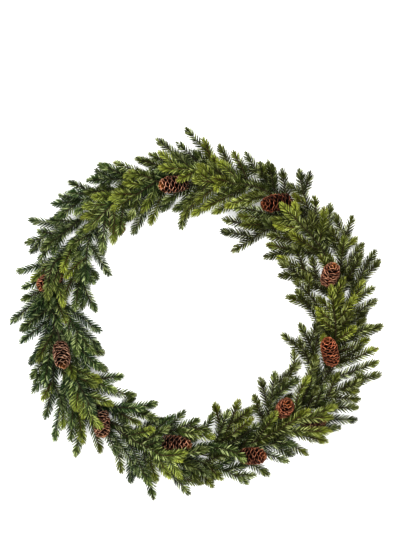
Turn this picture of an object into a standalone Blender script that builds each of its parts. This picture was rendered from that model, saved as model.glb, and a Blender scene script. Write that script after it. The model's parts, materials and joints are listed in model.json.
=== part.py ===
"""A fresh spruce wreath lying on its back: a wire ring, bunches of spruce wired to it, and cones.

Seen from above, angles run anticlockwise from +X. Every spray starts at a bunch on the ring and
points anticlockwise. The tables and the functions use millimetres, the finished meshes metres.
"""

import math

import bpy
import numpy as np

# The wire ring that carries everything
RING_RADIUS = 285.0
RING_WIRE = 3.2  # from the middle of its six-sided section to a corner
RING_SIDES = 6
RING_CORNERS = 40
RING_FLAT = RING_WIRE * math.cos(math.radians(30))  # from its middle to a flat side

# The thin wire that binds the stems to the ring
BUNCHES = 20
BUNCH_STEP = 360.0 / BUNCHES
BINDING_WIRE = 0.9  # from the middle of its three-sided section to a corner
SEAT_GAP = 0.3
RING_HEIGHT = RING_FLAT + SEAT_GAP + 1.5 * BINDING_WIRE

# Stems: outwards and up from the middle of the ring's wire for the inner, top and outer lane
LANES = {-1: (-3.4, 3.6), 0: (0.0, 4.6), 1: (3.4, 3.6)}
LANE_NAMES = {-1: "inner", 0: "top", 1: "outer"}
STEM_LENGTH = 22.0  # straight along the ring under the wire
BARE_LENGTH = 40.0  # stripped stem between the wire and the first needles

# Twigs
SAMPLE = 4.0  # between the points of a twig's middle line
MAIN_RADIUS = (1.5, 1.4)
SIDE_RADIUS = (1.45, 1.2)
FORK_ANGLE = 38.0
SIDE_LENGTH = 75.0  # usual length of a side twig
SIDE_BARE = 9.0
SIDE_LIFT = 16.0  # over which a side twig's middle line runs in from its parent's skin
BUD = 3.2

# Needles stand in whorls of six, on the small faces between two circles of corners
WHORL_STEP = 23.5  # between the last two whorls of a twig
WHORL_GROWTH = 1.12  # how much wider each step is than the next one out
WHORL_LENGTH = 2.9
NEEDLE = 14.0
NEEDLE_LEANS = (66.0, 36.0)  # degrees from the twig, in turn round the whorl
TIP_LEAN = 14.0  # less at the tip of a twig

# Room that twigs and needles keep
TWIG_SPACING = 10.5  # between the middle lines of two twigs that pass each other
FORK_REACH = 22.0  # round a fork, where its own twigs may be nearer
RING_CLEAR = 10.0
BUNCH_CLEAR = 15.0  # near a bunch
BUNCH_SPAN = 4.0  # degrees to each side of a bunch
CONE_CLEAR = 20.0  # from a cone's middle line to the nearest needle
CONE_END = 9.0  # that middle line stops this short of the cone's ends
STALK_CLEAR = 7.0
LOWEST_TWIG = 9.0
HIGHEST_TWIG = 90.0
FLOOR_GAP = 0.9
NEEDLE_MARGIN = 1.3

# Cones
CONE_CORE = 12.4
SCALE_COLUMNS = 6
SCALE_RISE = 5.4
SCALE_FORWARD = 4.6
SCALE_EDGE = 0.72  # width of a scale's outer edge against its root
# Rows of scales: share of the cone's length, and width of the core there
CONE_ROWS = [(0.05, 0.62), (0.2, 0.93), (0.38, 1.0), (0.56, 0.92), (0.74, 0.72), (0.9, 0.4)]
STALK_RADIUS = 1.4
STALK_LIFT = 16.0
STALK_BEND = 20.0
STALK_POINTS = 5

# Bunch, lane on the ring (-1 inside, 0 top, 1 outside) and the twigs' tips as degrees, reach, height.
# The first tip ends the main twig, the others are side twigs.
SPRAYS = [
    (0, 1, [(31.5, 368, 30), (22.5, 362, 20), (27, 332, 48)]),
    (1, 1, [(54, 354, 26), (44.5, 330, 50), (39, 348, 22)]),
    (2, 1, [(72.5, 336, 30), (64.5, 334, 52), (59, 336, 22)]),
    (3, 1, [(90.5, 324, 30), (82, 340, 20), (77, 330, 48)]),
    (4, 1, [(106, 332, 34), (102.5, 358, 24), (93, 370, 40), (96, 340, 56)]),
    (5, 1, [(127.5, 344, 28), (122.5, 352, 50), (117, 308, 64), (111, 332, 40)]),
    (6, 1, [(142.5, 364, 24), (134, 366, 38), (132, 326, 56)]),
    (7, 1, [(157.5, 370, 30), (150.7, 384, 22), (157, 332, 60)]),
    (8, 1, [(178.5, 332, 26), (166.8, 370, 22), (171.5, 350, 44), (168.5, 330, 60)]),
    (9, 1, [(196, 340, 30), (182.6, 374, 24), (189, 354, 50)]),
    (10, 1, [(214.5, 370, 26), (201, 354, 42), (205.5, 366, 22), (205, 334, 62)]),
    (11, 1, [(235, 340, 28), (229.5, 376, 22), (221.5, 380, 44)]),
    (12, 1, [(250.5, 348, 26), (244.5, 350, 42), (240, 320, 58)]),
    (13, 1, [(267.3, 364, 24), (256.7, 380, 38), (254.5, 352, 56)]),
    (14, 1, [(286.5, 356, 28), (275, 350, 22), (274, 320, 60)]),
    (15, 1, [(306.5, 330, 30), (293.8, 356, 24), (301.5, 346, 48)]),
    (16, 1, [(321, 368, 26), (308, 360, 22), (315.3, 364, 44), (322, 326, 60)]),
    (17, 1, [(341.5, 388, 30), (326, 386, 24), (337.5, 356, 50)]),
    (18, 1, [(357.5, 338, 26), (344.8, 374, 44), (356, 374, 22)]),
    (19, 1, [(379, 380, 30), (364, 362, 24), (368.3, 356, 56)]),
    (0, -1, [(33.8, 200, 40), (24, 186, 24)]),
    (1, -1, [(47, 212, 56), (39, 180, 26)]),
    (2, -1, [(59.5, 147, 26), (62, 200, 50), (72.5, 173, 34)]),
    (4, -1, [(106.5, 232, 44), (96, 214, 58), (100, 176, 26)]),
    (5, -1, [(128, 206, 36), (117, 204, 26)]),
    (7, -1, [(164, 230, 56), (156, 194, 26)]),
    (8, -1, [(178, 204, 30), (177.5, 242, 56)]),
    (9, -1, [(200.5, 220, 50), (190, 200, 26)]),
    (10, -1, [(210, 219, 50)]),
    (11, -1, [(232, 208, 40), (220, 198, 26), (223, 224, 56)]),
    (12, -1, [(245.5, 200, 28), (240, 218, 56)]),
    (13, -1, [(270.5, 214, 50), (257, 210, 60), (262.5, 202, 28)]),
    (15, -1, [(295.5, 196, 38), (281.5, 188, 26), (299, 220, 58)]),
    (16, -1, [(322.5, 198, 40), (305, 202, 54), (314, 186, 26)]),
    (18, -1, [(353.5, 210, 38), (346, 180, 26), (346, 210, 60)]),
    (19, -1, [(379, 208, 42), (370, 188, 28)]),
    (1, 0, [(52, 274, 74), (40, 286, 66), (40, 246, 60)]),
    (3, 0, [(91, 266, 66), (82.5, 270, 84), (86, 210, 78), (80, 206, 62)]),
    (4, 0, [(103.5, 298, 80), (97, 268, 84)]),
    (5, 0, [(128.5, 266, 74), (124, 286, 82)]),
    (6, 0, [(142.5, 274, 82), (133.5, 220, 86), (146, 226, 66)]),
    (8, 0, [(173, 296, 84), (161.5, 278, 80)]),
    (10, 0, [(224.5, 282, 84), (207, 276, 72)]),
    (13, 0, [(263.5, 291, 76), (269, 306, 64), (249, 244, 80)]),
    (16, 0, [(319, 292, 78), (308.5, 252, 74)]),
    (19, 0, [(371, 272, 76), (367.5, 244, 68), (373, 298, 84)]),
]

# Cones: the end with the stalk, the free end, then the degrees at which the stalk meets the ring
CONES = [
    ((12.5, 266, 44), (20, 290, 86), 9.5),
    ((50, 298, 46), (59.5, 249, 68), 46.5),
    ((93, 262, 52), (107, 266, 62), 85.5),
    ((132.5, 282, 48), (132.5, 215, 56), 135.5),
    ((163.5, 284, 42), (171, 320, 70), 157.5),
    ((192, 280, 42), (202, 283, 84), 185.5),
    ((225, 270, 50), (233, 312, 60), 221.5),
    ((254, 266, 50), (268.5, 266, 60), 247),
    ((286, 297, 46), (296.5, 316, 66), 281),
    ((313.5, 298, 36), (320.5, 338, 54), 310.5),
    ((309.8, 264, 36), (316.3, 252, 88), 308.5),
    ((339, 293, 46), (350, 262, 74), 335.5),
]


# Small geometry helpers

UP = np.array([0.0, 0.0, 1.0])


def polar(degrees, reach, height=0.0):
    angle = math.radians(degrees)
    return np.array([reach * math.cos(angle), reach * math.sin(angle), height])


def unit(vector):
    return vector / np.linalg.norm(vector)


def bezier(a, b, c, d, count):
    t = np.linspace(0.0, 1.0, count)[:, None]
    return a * (1 - t) ** 3 + 3 * b * t * (1 - t) ** 2 + 3 * c * t ** 2 * (1 - t) + d * t ** 3


def line_lengths(points):
    """Distance along a line from its start to each of its points."""
    return np.concatenate([[0.0], np.cumsum(np.linalg.norm(np.diff(points, axis=0), axis=1))])


def resample(points, step):
    """Points at equal steps along a line, its two ends kept."""
    lengths = line_lengths(points)
    count = max(3, int(round(lengths[-1] / step)) + 1)
    wanted = np.linspace(0.0, lengths[-1], count)
    return np.stack([np.interp(wanted, lengths, points[:, i]) for i in range(3)], axis=1)


def carry(side, heading):
    """The same side direction, turned as little as possible to stand square to a new heading."""
    return unit(side - heading * np.dot(side, heading))


def nearest_on(start, end, points):
    line = end - start
    share = np.clip(((points - start) @ line) / np.dot(line, line), 0.0, 1.0)
    return start + share[:, None] * line


def bunch_frame(bunch):
    """Middle of the ring's wire at a bunch, with the directions along the ring and outwards."""
    outwards = polar(bunch * BUNCH_STEP, 1.0)
    along = np.cross(UP, outwards)
    return outwards * RING_RADIUS + UP * RING_HEIGHT, along, outwards


# Twigs as drawn: a middle line each, with the places of its whorls

class Twig:
    def __init__(self, spray, points, radii, bare, parent=None, knot=0):
        self.spray = spray
        self.points = points
        self.radii = radii
        self.parent = parent
        self.knot = knot  # the parent's whorl that this twig starts in
        length = line_lengths(points)[-1]
        span = length - bare - WHORL_LENGTH
        steps = [WHORL_STEP]
        while sum(steps) < span - 0.5 * steps[-1]:
            steps.append(steps[-1] * WHORL_GROWTH)
        steps = np.array(steps[::-1]) * span / sum(steps)
        places = bare + np.concatenate([[0.0], np.cumsum(steps)])
        self.whorls = places * (len(points) - 1) / length

    def at(self, position):
        """The point at a position, which counts the line's own points."""
        low = int(min(max(math.floor(position), 0), len(self.points) - 2))
        return self.points[low] + (self.points[low + 1] - self.points[low]) * (position - low)

    def heading(self, position):
        return unit(self.at(position + 0.5) - self.at(position - 0.5))

    def radius(self, position):
        share = position / (len(self.points) - 1)
        return self.radii[0] + (self.radii[1] - self.radii[0]) * share


STRAIGHT_POINTS = 7  # of the stem under the wire


def main_twig(spray, bunch, lane, tip):
    """From under the binding wire along the ring, then in one bend out to the tip."""
    middle, along, outwards = bunch_frame(bunch)
    lane_out, lane_up = LANES[lane]
    start = middle + outwards * lane_out + UP * lane_up
    leave = start + along * STEM_LENGTH / 2
    end = polar(*tip)
    reach = np.linalg.norm(end - leave)
    climb = end[2] - leave[2]
    early, late = (0.45, 0.0) if lane == 0 else (0.2, 0.3)
    level = unit((end - leave) * np.array([1.0, 1.0, 0.0]))
    arrive = unit(level + 0.35 * lane * polar(tip[0], 1.0))
    second = leave + along * 0.32 * reach + UP * early * climb
    third = end - arrive * 0.34 * reach - UP * late * climb
    straight = np.linspace(start - along * STEM_LENGTH / 2, leave, STRAIGHT_POINTS)
    curve = resample(bezier(leave, second, third, end, 80), SAMPLE)
    points = np.concatenate([straight, curve[1:]])
    return Twig(spray, points, MAIN_RADIUS, STEM_LENGTH / 2 + BARE_LENGTH)


def side_twig(spray, parent, tip, taken):
    """From the whorl where the way to the tip forks off most naturally."""
    end = polar(*tip)
    costs = []
    for knot, position in enumerate(parent.whorls[:-1]):
        way = end - parent.at(position)
        cosine = np.dot(unit(way), parent.heading(position))
        fork = math.degrees(math.acos(max(-1.0, min(1.0, cosine))))
        cost = abs(fork - FORK_ANGLE) + 0.35 * abs(np.linalg.norm(way[:2]) - SIDE_LENGTH)
        costs.append(cost + (25.0 if knot in taken else 0.0))
    knot = int(np.argmin(costs))
    taken.append(knot)
    base = parent.at(parent.whorls[knot])
    reach = np.linalg.norm((end - base)[:2])
    towards = unit(end - base)
    first = unit(towards - 0.15 * parent.heading(parent.whorls[knot]))
    level = unit(towards * np.array([1.0, 1.0, 0.35]))
    line = bezier(base, base + first * 0.33 * reach, end - level * 0.33 * reach, end, 50)
    return Twig(spray, resample(line, SAMPLE), SIDE_RADIUS, SIDE_BARE, parent, knot)


def draw_twigs():
    twigs = []
    for spray, (bunch, lane, tips) in enumerate(SPRAYS):
        parent = main_twig(spray, bunch, lane, tips[0])
        taken = []
        twigs.append(parent)
        for tip in tips[1:]:
            twigs.append(side_twig(spray, parent, tip, taken))
    return twigs


def cone_lines():
    """The middle line of each cone, and of its stalk down to the top of the ring."""
    cones, stalks = [], []
    for fixed, free, foot in CONES:
        start, end = polar(*fixed), polar(*free)
        seat = polar(foot, RING_RADIUS, RING_HEIGHT + RING_FLAT + SEAT_GAP)
        bend = start - unit(end - start) * STALK_BEND
        stalks.append(bezier(seat, seat + UP * STALK_LIFT, bend, start, STALK_POINTS))
        cones.append((start, end))
    return cones, stalks


# Twigs spread apart, so that none meets another, a cone, the ring or the surface below

def push_out(points, centres, clear):
    """How far points inside a distance of their centres have to move, mostly up or down."""
    away = points - centres
    short = np.maximum(clear - np.linalg.norm(away, axis=1), 0.0)
    direction = away * np.array([0.6, 0.6, 1.0])
    direction[:, 2] += np.where(away[:, 2] >= 0, 1.0, -1.0)
    direction /= np.linalg.norm(direction, axis=1)[:, None]
    return direction * short[:, None]


def cone_middles(cone, points):
    axis = unit(cone[1] - cone[0])
    return nearest_on(cone[0] + axis * CONE_END, cone[1] - axis * CONE_END, points)


def on_ring(points):
    flat = points[:, :2] / np.linalg.norm(points[:, :2], axis=1)[:, None] * RING_RADIUS
    return np.column_stack([flat, np.full(len(points), RING_HEIGHT)])


def ring_clearance(points):
    """Distance that a twig keeps from the ring's wire, more where a bunch is bound to it."""
    degrees = np.degrees(np.arctan2(points[:, 1], points[:, 0]))
    from_bunch = np.abs((degrees + BUNCH_STEP / 2) % BUNCH_STEP - BUNCH_STEP / 2)
    return np.where(from_bunch < BUNCH_SPAN, BUNCH_CLEAR, RING_CLEAR)


def close_pairs(points, owner, reach):
    """Pairs of points on different twigs that are less than a reach apart."""
    left, right = [], []
    for index in range(len(points)):
        rest = points[index + 1:]
        near = np.abs(rest[:, 0] - points[index, 0]) < reach
        near &= np.abs(rest[:, 1] - points[index, 1]) < reach
        near &= owner[index + 1:] != owner[index]
        found = np.nonzero(near)[0]
        found = found[np.linalg.norm(rest[found] - points[index], axis=1) < reach]
        left.append(np.full(len(found), index))
        right.append(found + index + 1)
    return np.concatenate(left), np.concatenate(right)


def round_a_fork(left, right, drawn, owner, fork):
    """Which pairs lie round a fork that their two twigs share."""
    shared = np.zeros(len(left), bool)
    for one, other in ((left, right), (right, left)):
        start = fork[one]
        near = np.linalg.norm(drawn[other] - drawn[start], axis=1) < FORK_REACH
        same = (owner[other] == owner[start]) | (fork[other] == start)
        shared |= (start >= 0) & near & same
    return shared


def pushes_between(points, left, right, order):
    """Moves two twigs apart where they pass too near, the one drawn higher over the other."""
    away = points[left] - points[right]
    short = np.maximum(TWIG_SPACING - np.linalg.norm(away, axis=1), 0.0)
    direction = away * np.array([0.45, 0.45, 1.0])
    over = np.where(order[left] > order[right], 1.0, -1.0)
    direction[:, 2] += over * np.where(np.abs(away[:, 2]) < 4.0, 3.0, 0.0)
    direction /= np.linalg.norm(direction, axis=1)[:, None]
    push = np.zeros_like(points)
    np.add.at(push, left, direction * short[:, None] * 0.25)
    np.add.at(push, right, -direction * short[:, None] * 0.25)
    return push


def pushes_from_rest(points, cones, stalks):
    """Moves twigs off the cones, the stalks, the ring and the surface, and keeps them under a height."""
    push = push_out(points, on_ring(points), ring_clearance(points)) * 0.5
    for cone, stalk in zip(cones, stalks):
        push += push_out(points, cone_middles(cone, points), CONE_CLEAR + 4.0) * 0.5
        for a, b in zip(stalk[:-1], stalk[1:]):
            sideways = push_out(points, nearest_on(a, b, points), STALK_CLEAR)
            push += sideways * np.array([0.75, 0.75, 0.15])
    push[:, 2] += np.maximum(LOWEST_TWIG - points[:, 2], 0.0) * 0.5
    push[:, 2] -= np.maximum(points[:, 2] - HIGHEST_TWIG, 0.0) * 0.3
    return push


def spread_twigs(twigs, cones, stalks, rounds=90):
    counts = [len(twig.points) for twig in twigs]
    starts = np.concatenate([[0], np.cumsum(counts)])
    drawn = np.concatenate([twig.points for twig in twigs])
    owner = np.repeat(np.arange(len(twigs)), counts)
    order = np.argsort(np.argsort(drawn[:, 2] + owner * 0.01))
    freedom = np.ones(len(drawn))
    fork = np.full(len(drawn), -1)
    for index, twig in enumerate(twigs):
        own = slice(starts[index], starts[index + 1])
        if twig.parent is None:
            past_stem = np.arange(counts[index]) * SAMPLE - STEM_LENGTH - SAMPLE
            freedom[own] = np.clip(past_stem / 30.0, 0.0, 1.0)
        else:
            fork[own] = starts[twigs.index(twig.parent)] + int(round(twig.parent.whorls[twig.knot]))

    moved = np.zeros_like(drawn)
    for turn in range(rounds):
        points = drawn + moved
        if turn % 10 == 0:
            left, right = close_pairs(points, owner, TWIG_SPACING + 9.0)
            apart = ~round_a_fork(left, right, drawn, owner, fork)
            left, right = left[apart], right[apart]
        push = pushes_between(points, left, right, order) + pushes_from_rest(points, cones, stalks)
        moved += push * freedom[:, None]
        moved[:, :2] *= 0.985
        for index, twig in enumerate(twigs):
            own = moved[starts[index]:starts[index + 1]]
            if twig.parent is not None:
                own[0] = moved[fork[starts[index]]]
            for _ in range(2):
                own[1:-1] = 0.5 * own[1:-1] + 0.25 * (own[:-2] + own[2:])
                own[-1] = 0.7 * own[-1] + 0.3 * own[-2]
            if twig.parent is None:
                own[:STRAIGHT_POINTS] = 0.0
    for index, twig in enumerate(twigs):
        twig.points = (drawn + moved)[starts[index]:starts[index + 1]]


# Room for needles: each point belongs to the twig whose middle line is nearest

class Room:
    def __init__(self, twigs, cones, stalks):
        self.cones = cones
        lines = [resample(twig.points, 2.0) for twig in twigs] + [resample(stalk, 2.0) for stalk in stalks]
        counts = [len(line) for line in lines]
        bare = [-1] * len(stalks)
        self.lines = np.concatenate(lines)
        self.owners = np.repeat(list(range(len(twigs))) + bare, counts)
        self.sprays = np.repeat([twig.spray for twig in twigs] + bare, counts)
        self.near_fork = np.concatenate(
            [self.round_forks(twig, line, twigs) for twig, line in zip(twigs, lines)]
            + [np.zeros(count, bool) for count in counts[len(twigs):]])

    def round_forks(self, twig, line, twigs):
        """Which points of a twig's line lie so near a fork that its own spray's needles pass them."""
        forks = [child.points[0] for child in twigs if child.parent is twig]
        if twig.parent is not None:
            forks.append(twig.points[0])
        near = np.zeros(len(line), bool)
        for point in forks:
            near |= np.linalg.norm(line - point, axis=1) < FORK_REACH / 2
        return near

    def length(self, index, spray, base, direction, length, forks):
        """How long a needle can grow from its base before it would leave its twig's room."""
        shares = np.linspace(0.1, 1.0, 10)
        points = base + direction * length * shares[:, None]
        close = np.linalg.norm(self.lines - base, axis=1) < 2 * length + 4.0
        own = self.owners[close] == index
        counted = ~own & ~(self.near_fork[close] & (self.sprays[close] == spray))
        distance = np.linalg.norm(points[:, None] - self.lines[close][None], axis=2)
        mine = np.where(own[None], distance, math.inf).min(axis=1)
        theirs = np.where(counted[None], distance, math.inf).min(axis=1)
        outside = theirs < mine + NEEDLE_MARGIN
        outside |= np.linalg.norm(points - on_ring(points), axis=1) < ring_clearance(points) - 3.5
        outside |= points[:, 2] < FLOOR_GAP
        for fork in forks:
            from_fork = np.linalg.norm(points[:, None] - fork[None], axis=2).min(axis=1)
            outside |= (from_fork < 2.4) & (shares > 0.15)
        for cone in self.cones:
            outside |= np.linalg.norm(points - cone_middles(cone, points), axis=1) < CONE_CLEAR
        return length * (shares[np.argmax(outside)] - 0.1 if outside.any() else 1.0)


# Surfaces: points and faces that grow into one closed mesh

class Surface:
    def __init__(self):
        self.points = []
        self.faces = []

    def add(self, point):
        self.points.append(point)
        return len(self.points) - 1

    def middle(self, face):
        return sum(self.points[corner] for corner in face) / len(face)

    def circle(self, centre, heading, side, radius, turn, count=3):
        across = np.cross(heading, side)
        corners = []
        for i in range(count):
            angle = turn + 2 * math.pi * i / count
            corners.append(self.add(centre + radius * (math.cos(angle) * side + math.sin(angle) * across)))
        return corners

    def peak(self, face, point):
        """Fills a face with triangles that meet at a new point."""
        top = self.add(point)
        for i in range(len(face)):
            self.faces.append((face[i], face[(i + 1) % len(face)], top))


def band(lower, upper):
    """The triangles between two circles of corners, the upper one turned by half a step."""
    faces = []
    count = len(lower)
    for i in range(count):
        after = (i + 1) % count
        faces.append((lower[i], lower[after], upper[i]))
        faces.append((lower[after], upper[after], upper[i]))
    return faces


def material(name, colour, roughness, metallic=0.0):
    made = bpy.data.materials.get(name)
    if made is None:
        made = bpy.data.materials.new(name)
        made.use_nodes = True
        shader = made.node_tree.nodes["Principled BSDF"]
        shader.inputs["Base Color"].default_value = (*colour, 1.0)
        shader.inputs["Roughness"].default_value = roughness
        shader.inputs["Metallic"].default_value = metallic
        made.diffuse_color = (*colour, 1.0)
    return made


def make_object(name, surface, surface_material):
    """A mesh object in metres from a surface in millimetres."""
    mesh = bpy.data.meshes.new(name)
    mesh.from_pydata([tuple(point * 0.001) for point in surface.points], [], surface.faces)
    mesh.materials.append(surface_material)
    made = bpy.data.objects.new(name, mesh)
    bpy.context.scene.collection.objects.link(made)
    return made


# Sprays: three-sided twigs, with a needle drawn out of each small face of a whorl

class Spray:
    def __init__(self, twigs, room, seed):
        self.twigs = twigs
        self.room = room
        self.random = np.random.default_rng(seed)
        self.surface = Surface()

    def grow(self, index, base=None):
        """Adds a twig with all that grows on it. A side twig starts on a face of its parent."""
        twig = self.twigs[index]
        surface = self.surface
        if base is None:
            shift = np.zeros(3)
            bare = [0.0, STRAIGHT_POINTS - 1.0, 0.5 * (STRAIGHT_POINTS - 1.0 + twig.whorls[0])]
            side, turn = carry(UP, twig.heading(0.0)), 0.0
        else:
            shift = 1.5 * (surface.middle(base) - twig.points[0])
            bare = [1.2]
            side, turn = self.turn_of(base, twig.heading(bare[0]))
        last = base
        for position in bare:
            side, turn, last = self.next_circle(twig, position, side, turn, last, shift)
        for knot, position in enumerate(twig.whorls):
            side, turn, last = self.next_circle(twig, position, side, turn, last, shift)
            side, turn, last = self.whorl(index, knot, position, side, turn, last, shift)
        surface.peak(tuple(last), twig.points[-1] + twig.heading(len(twig.points) - 1.0) * BUD)

    def turn_of(self, base, heading):
        """A side direction, and how far the corners of a face are turned from it."""
        centre = self.surface.middle(base)
        side = carry(self.surface.points[base[0]] - centre, heading)
        across = np.cross(heading, side)
        turns = []
        for i, corner in enumerate(base):
            offset = self.surface.points[corner] - centre
            angle = math.atan2(np.dot(offset, across), np.dot(offset, side)) - 2 * math.pi * i / 3
            turns.append((angle + math.pi) % (2 * math.pi) - math.pi)
        return side, sum(turns) / 3

    def place_circle(self, twig, position, side, turn, shift):
        heading = twig.heading(position)
        side = carry(side, heading)
        centre = twig.at(position) + shift * max(0.0, 1.0 - position * SAMPLE / SIDE_LIFT)
        return side, self.surface.circle(centre, heading, side, twig.radius(position), turn)

    def next_circle(self, twig, position, side, turn, last, shift):
        """A bare stretch of twig up to a position."""
        if last is not None:
            turn += math.pi / 3 + self.random.uniform(-0.25, 0.25)
        side, corners = self.place_circle(twig, position, side, turn, shift)
        if last is None:
            self.surface.faces.append(tuple(reversed(corners)))
        else:
            self.surface.faces.extend(band(last, corners))
        return side, turn, corners

    def whorl(self, index, knot, start, side, turn, last, shift):
        """Six small faces: side twigs grow from the best placed ones, needles from the others."""
        twig = self.twigs[index]
        surface = self.surface
        position = min(start + WHORL_LENGTH / SAMPLE, len(twig.points) - 1.0)
        turn += math.pi / 3
        side, corners = self.place_circle(twig, position, side, turn, shift)
        heading = twig.heading(position)
        middle = twig.at(position - WHORL_LENGTH / SAMPLE / 2)
        faces = dict(enumerate(band(last, corners)))
        forks = []
        for number, child in enumerate(self.twigs):
            if child.parent is not twig or child.knot != knot:
                continue
            towards = carry(child.heading(1.0), heading)
            best = max(faces, key=lambda f: np.dot(unit(surface.middle(faces[f]) - middle), towards))
            face = faces.pop(best)
            lift = 1.2 * (surface.middle(face) - child.points[0])
            forks.append(resample(child.points[:5], 1.0) + lift)
            self.grow(number, face)
        at_tip = knot == len(twig.whorls) - 1
        for number, face in faces.items():
            lean = NEEDLE_LEANS[number % 2] - (TIP_LEAN if at_tip else 0.0)
            self.needle(index, face, middle, heading, lean, forks)
        return side, turn, corners

    def needle(self, index, face, middle, heading, lean, forks):
        base = self.surface.middle(face)
        outwards = carry(base - middle, heading)
        angle = math.radians(lean + self.random.uniform(-6, 6))
        direction = math.cos(angle) * heading + math.sin(angle) * outwards
        wanted = NEEDLE * self.random.uniform(0.9, 1.05)
        length = self.room.length(index, self.twigs[index].spray, base, direction, wanted, forks)
        if length < 0.25 * wanted:
            self.surface.faces.append(face)
        else:
            self.surface.peak(face, base + direction * length)


def make_sprays(twigs, room):
    new = material("new_spruce", (0.13, 0.24, 0.05), 0.6)
    old = material("old_spruce", (0.035, 0.085, 0.035), 0.65)
    for index, twig in enumerate(twigs):
        if twig.parent is not None:
            continue
        bunch, lane, _ = SPRAYS[twig.spray]
        spray = Spray(twigs, room, seed=twig.spray)
        spray.grow(index)
        make_object(f"spray_{LANE_NAMES[lane]}_{bunch:02d}", spray.surface, new if lane == 0 else old)


# Ring

def make_ring():
    """Bent from six-sided wire, straight between its corners, so straight at every bunch too."""
    surface = Surface()
    circles = []
    for corner in range(RING_CORNERS):
        degrees = (corner + 0.5) * 360.0 / RING_CORNERS
        around = []
        for i in range(RING_SIDES):
            angle = 2 * math.pi * i / RING_SIDES
            reach = (RING_RADIUS + RING_WIRE * math.cos(angle)) / math.cos(math.pi / RING_CORNERS)
            around.append(surface.add(polar(degrees, reach, RING_HEIGHT + RING_WIRE * math.sin(angle))))
        circles.append(around)
    for corner, one in enumerate(circles):
        other = circles[(corner + 1) % RING_CORNERS]
        for i in range(RING_SIDES):
            after = (i + 1) % RING_SIDES
            surface.faces.append((one[i], other[i], other[after], one[after]))
    make_object("ring_frame", surface, material("ring_wire", (0.05, 0.06, 0.05), 0.4, 1.0))


# Binding wire

def make_binding():
    """One wire: under the ring at each bunch, round over the stems, then inside the ring to the next."""
    under = 0.5 * BINDING_WIRE - RING_HEIGHT
    # Along the ring, outwards and up from the middle of the ring's wire, and which way faces out
    turns = [
        (-4.5, -3.0, under, (0.0, -1.0)),
        (-2.5, 3.0, under, (0.0, -1.0)),
        (-0.5, 6.5, 3.8, (1.0, 0.0)),
        (1.0, 4.1, 7.5, (0.3, 1.0)),
        (3.0, -4.1, 7.5, (-0.3, 1.0)),
        (5.0, -6.5, 3.8, (-1.0, 0.0)),
    ]
    path, facing = [], []
    for bunch in range(BUNCHES):
        middle, along, outwards = bunch_frame(bunch)
        for ahead, out, up, (face_out, face_up) in turns:
            path.append(middle + along * ahead + outwards * out + UP * up)
            facing.append(unit(outwards * face_out + UP * face_up))

    surface = Surface()
    circles = []
    for i, point in enumerate(path):
        heading = unit(path[(i + 1) % len(path)] - path[i - 1])
        across = unit(np.cross(heading, facing[i]))
        offsets = [-facing[i], 0.5 * facing[i] - 0.866 * across, 0.5 * facing[i] + 0.866 * across]
        circles.append([surface.add(point + BINDING_WIRE * offset) for offset in offsets])
    for i, one in enumerate(circles):
        other = circles[(i + 1) % len(circles)]
        for j in range(3):
            after = (j + 1) % 3
            surface.faces.append((one[j], other[after], other[j]))
            surface.faces.append((one[j], one[after], other[after]))
    make_object("binding_wire", surface, material("binding_wire", (0.03, 0.10, 0.05), 0.35, 0.6))


# Cones

def make_cone(name, fixed, free, stalk):
    """A stalk, then a core with rows of open scales."""
    surface = Surface()
    headings = [UP] + [unit(after - before) for before, after in zip(stalk[:-2], stalk[2:])]
    headings.append(unit(stalk[-1] - stalk[-2]))
    side = carry(np.array([0.3, 0.9, 0.2]), UP)
    last, turn = None, -math.pi / 3
    for point, heading in zip(stalk, headings):
        side = carry(side, heading)
        turn += math.pi / 3
        corners = surface.circle(point, heading, side, STALK_RADIUS, turn)
        surface.faces += band(last, corners) if last else [tuple(reversed(corners))]
        last = corners

    axis = unit(free - fixed)
    side = carry(side, axis)
    for row, (share, width) in enumerate(CONE_ROWS):
        centre = fixed + (free - fixed) * share
        corners = surface.circle(centre, axis, side, CONE_CORE * width, turn, SCALE_COLUMNS)
        if row == 0:
            surface.faces += widening_band(last, corners)
        else:
            faces = band(last, corners)
            surface.faces += faces[0::2]
            for face in faces[1::2]:
                open_scale(surface, face, centre, axis, SCALE_RISE * (0.75 + 0.25 * width))
        last = corners
        turn += math.pi / SCALE_COLUMNS
    surface.peak(tuple(last), free)
    make_object(name, surface, material("cone_scales", (0.20, 0.07, 0.035), 0.7))


def widening_band(lower, upper):
    """Triangles from a circle of corners to one of twice as many."""
    faces = []
    count = len(lower)
    for i in range(count):
        a, b = lower[i], lower[(i + 1) % count]
        c, d, e = upper[2 * i], upper[2 * i + 1], upper[(2 * i + 2) % (2 * count)]
        faces += [(a, b, d), (a, d, c), (b, e, d)]
    return faces


def open_scale(surface, face, centre, axis, rise):
    """A wedge that rises from one corner of a face to a broad edge over the other two."""
    root, right, left = face
    middle = 0.5 * (surface.points[right] + surface.points[left])
    lift = carry(middle - centre, axis) * rise + axis * SCALE_FORWARD
    outer_right, outer_left = [
        surface.add(middle + SCALE_EDGE * (surface.points[corner] - middle) + lift)
        for corner in (right, left)]
    surface.faces += [
        (root, outer_right, outer_left),
        (root, right, outer_right),
        (root, outer_left, left),
        (right, left, outer_left),
        (right, outer_left, outer_right),
    ]


def main():
    for item in list(bpy.context.scene.objects):
        bpy.data.objects.remove(item, do_unlink=True)
    cones, stalks = cone_lines()
    twigs = draw_twigs()
    spread_twigs(twigs, cones, stalks)
    make_ring()
    make_binding()
    make_sprays(twigs, Room(twigs, cones, stalks))
    for number, ((fixed, free), stalk) in enumerate(zip(cones, stalks)):
        make_cone(f"cone_{number + 1:02d}", fixed, free, stalk)


main()
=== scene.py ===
import json
import math
from functools import partial

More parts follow.
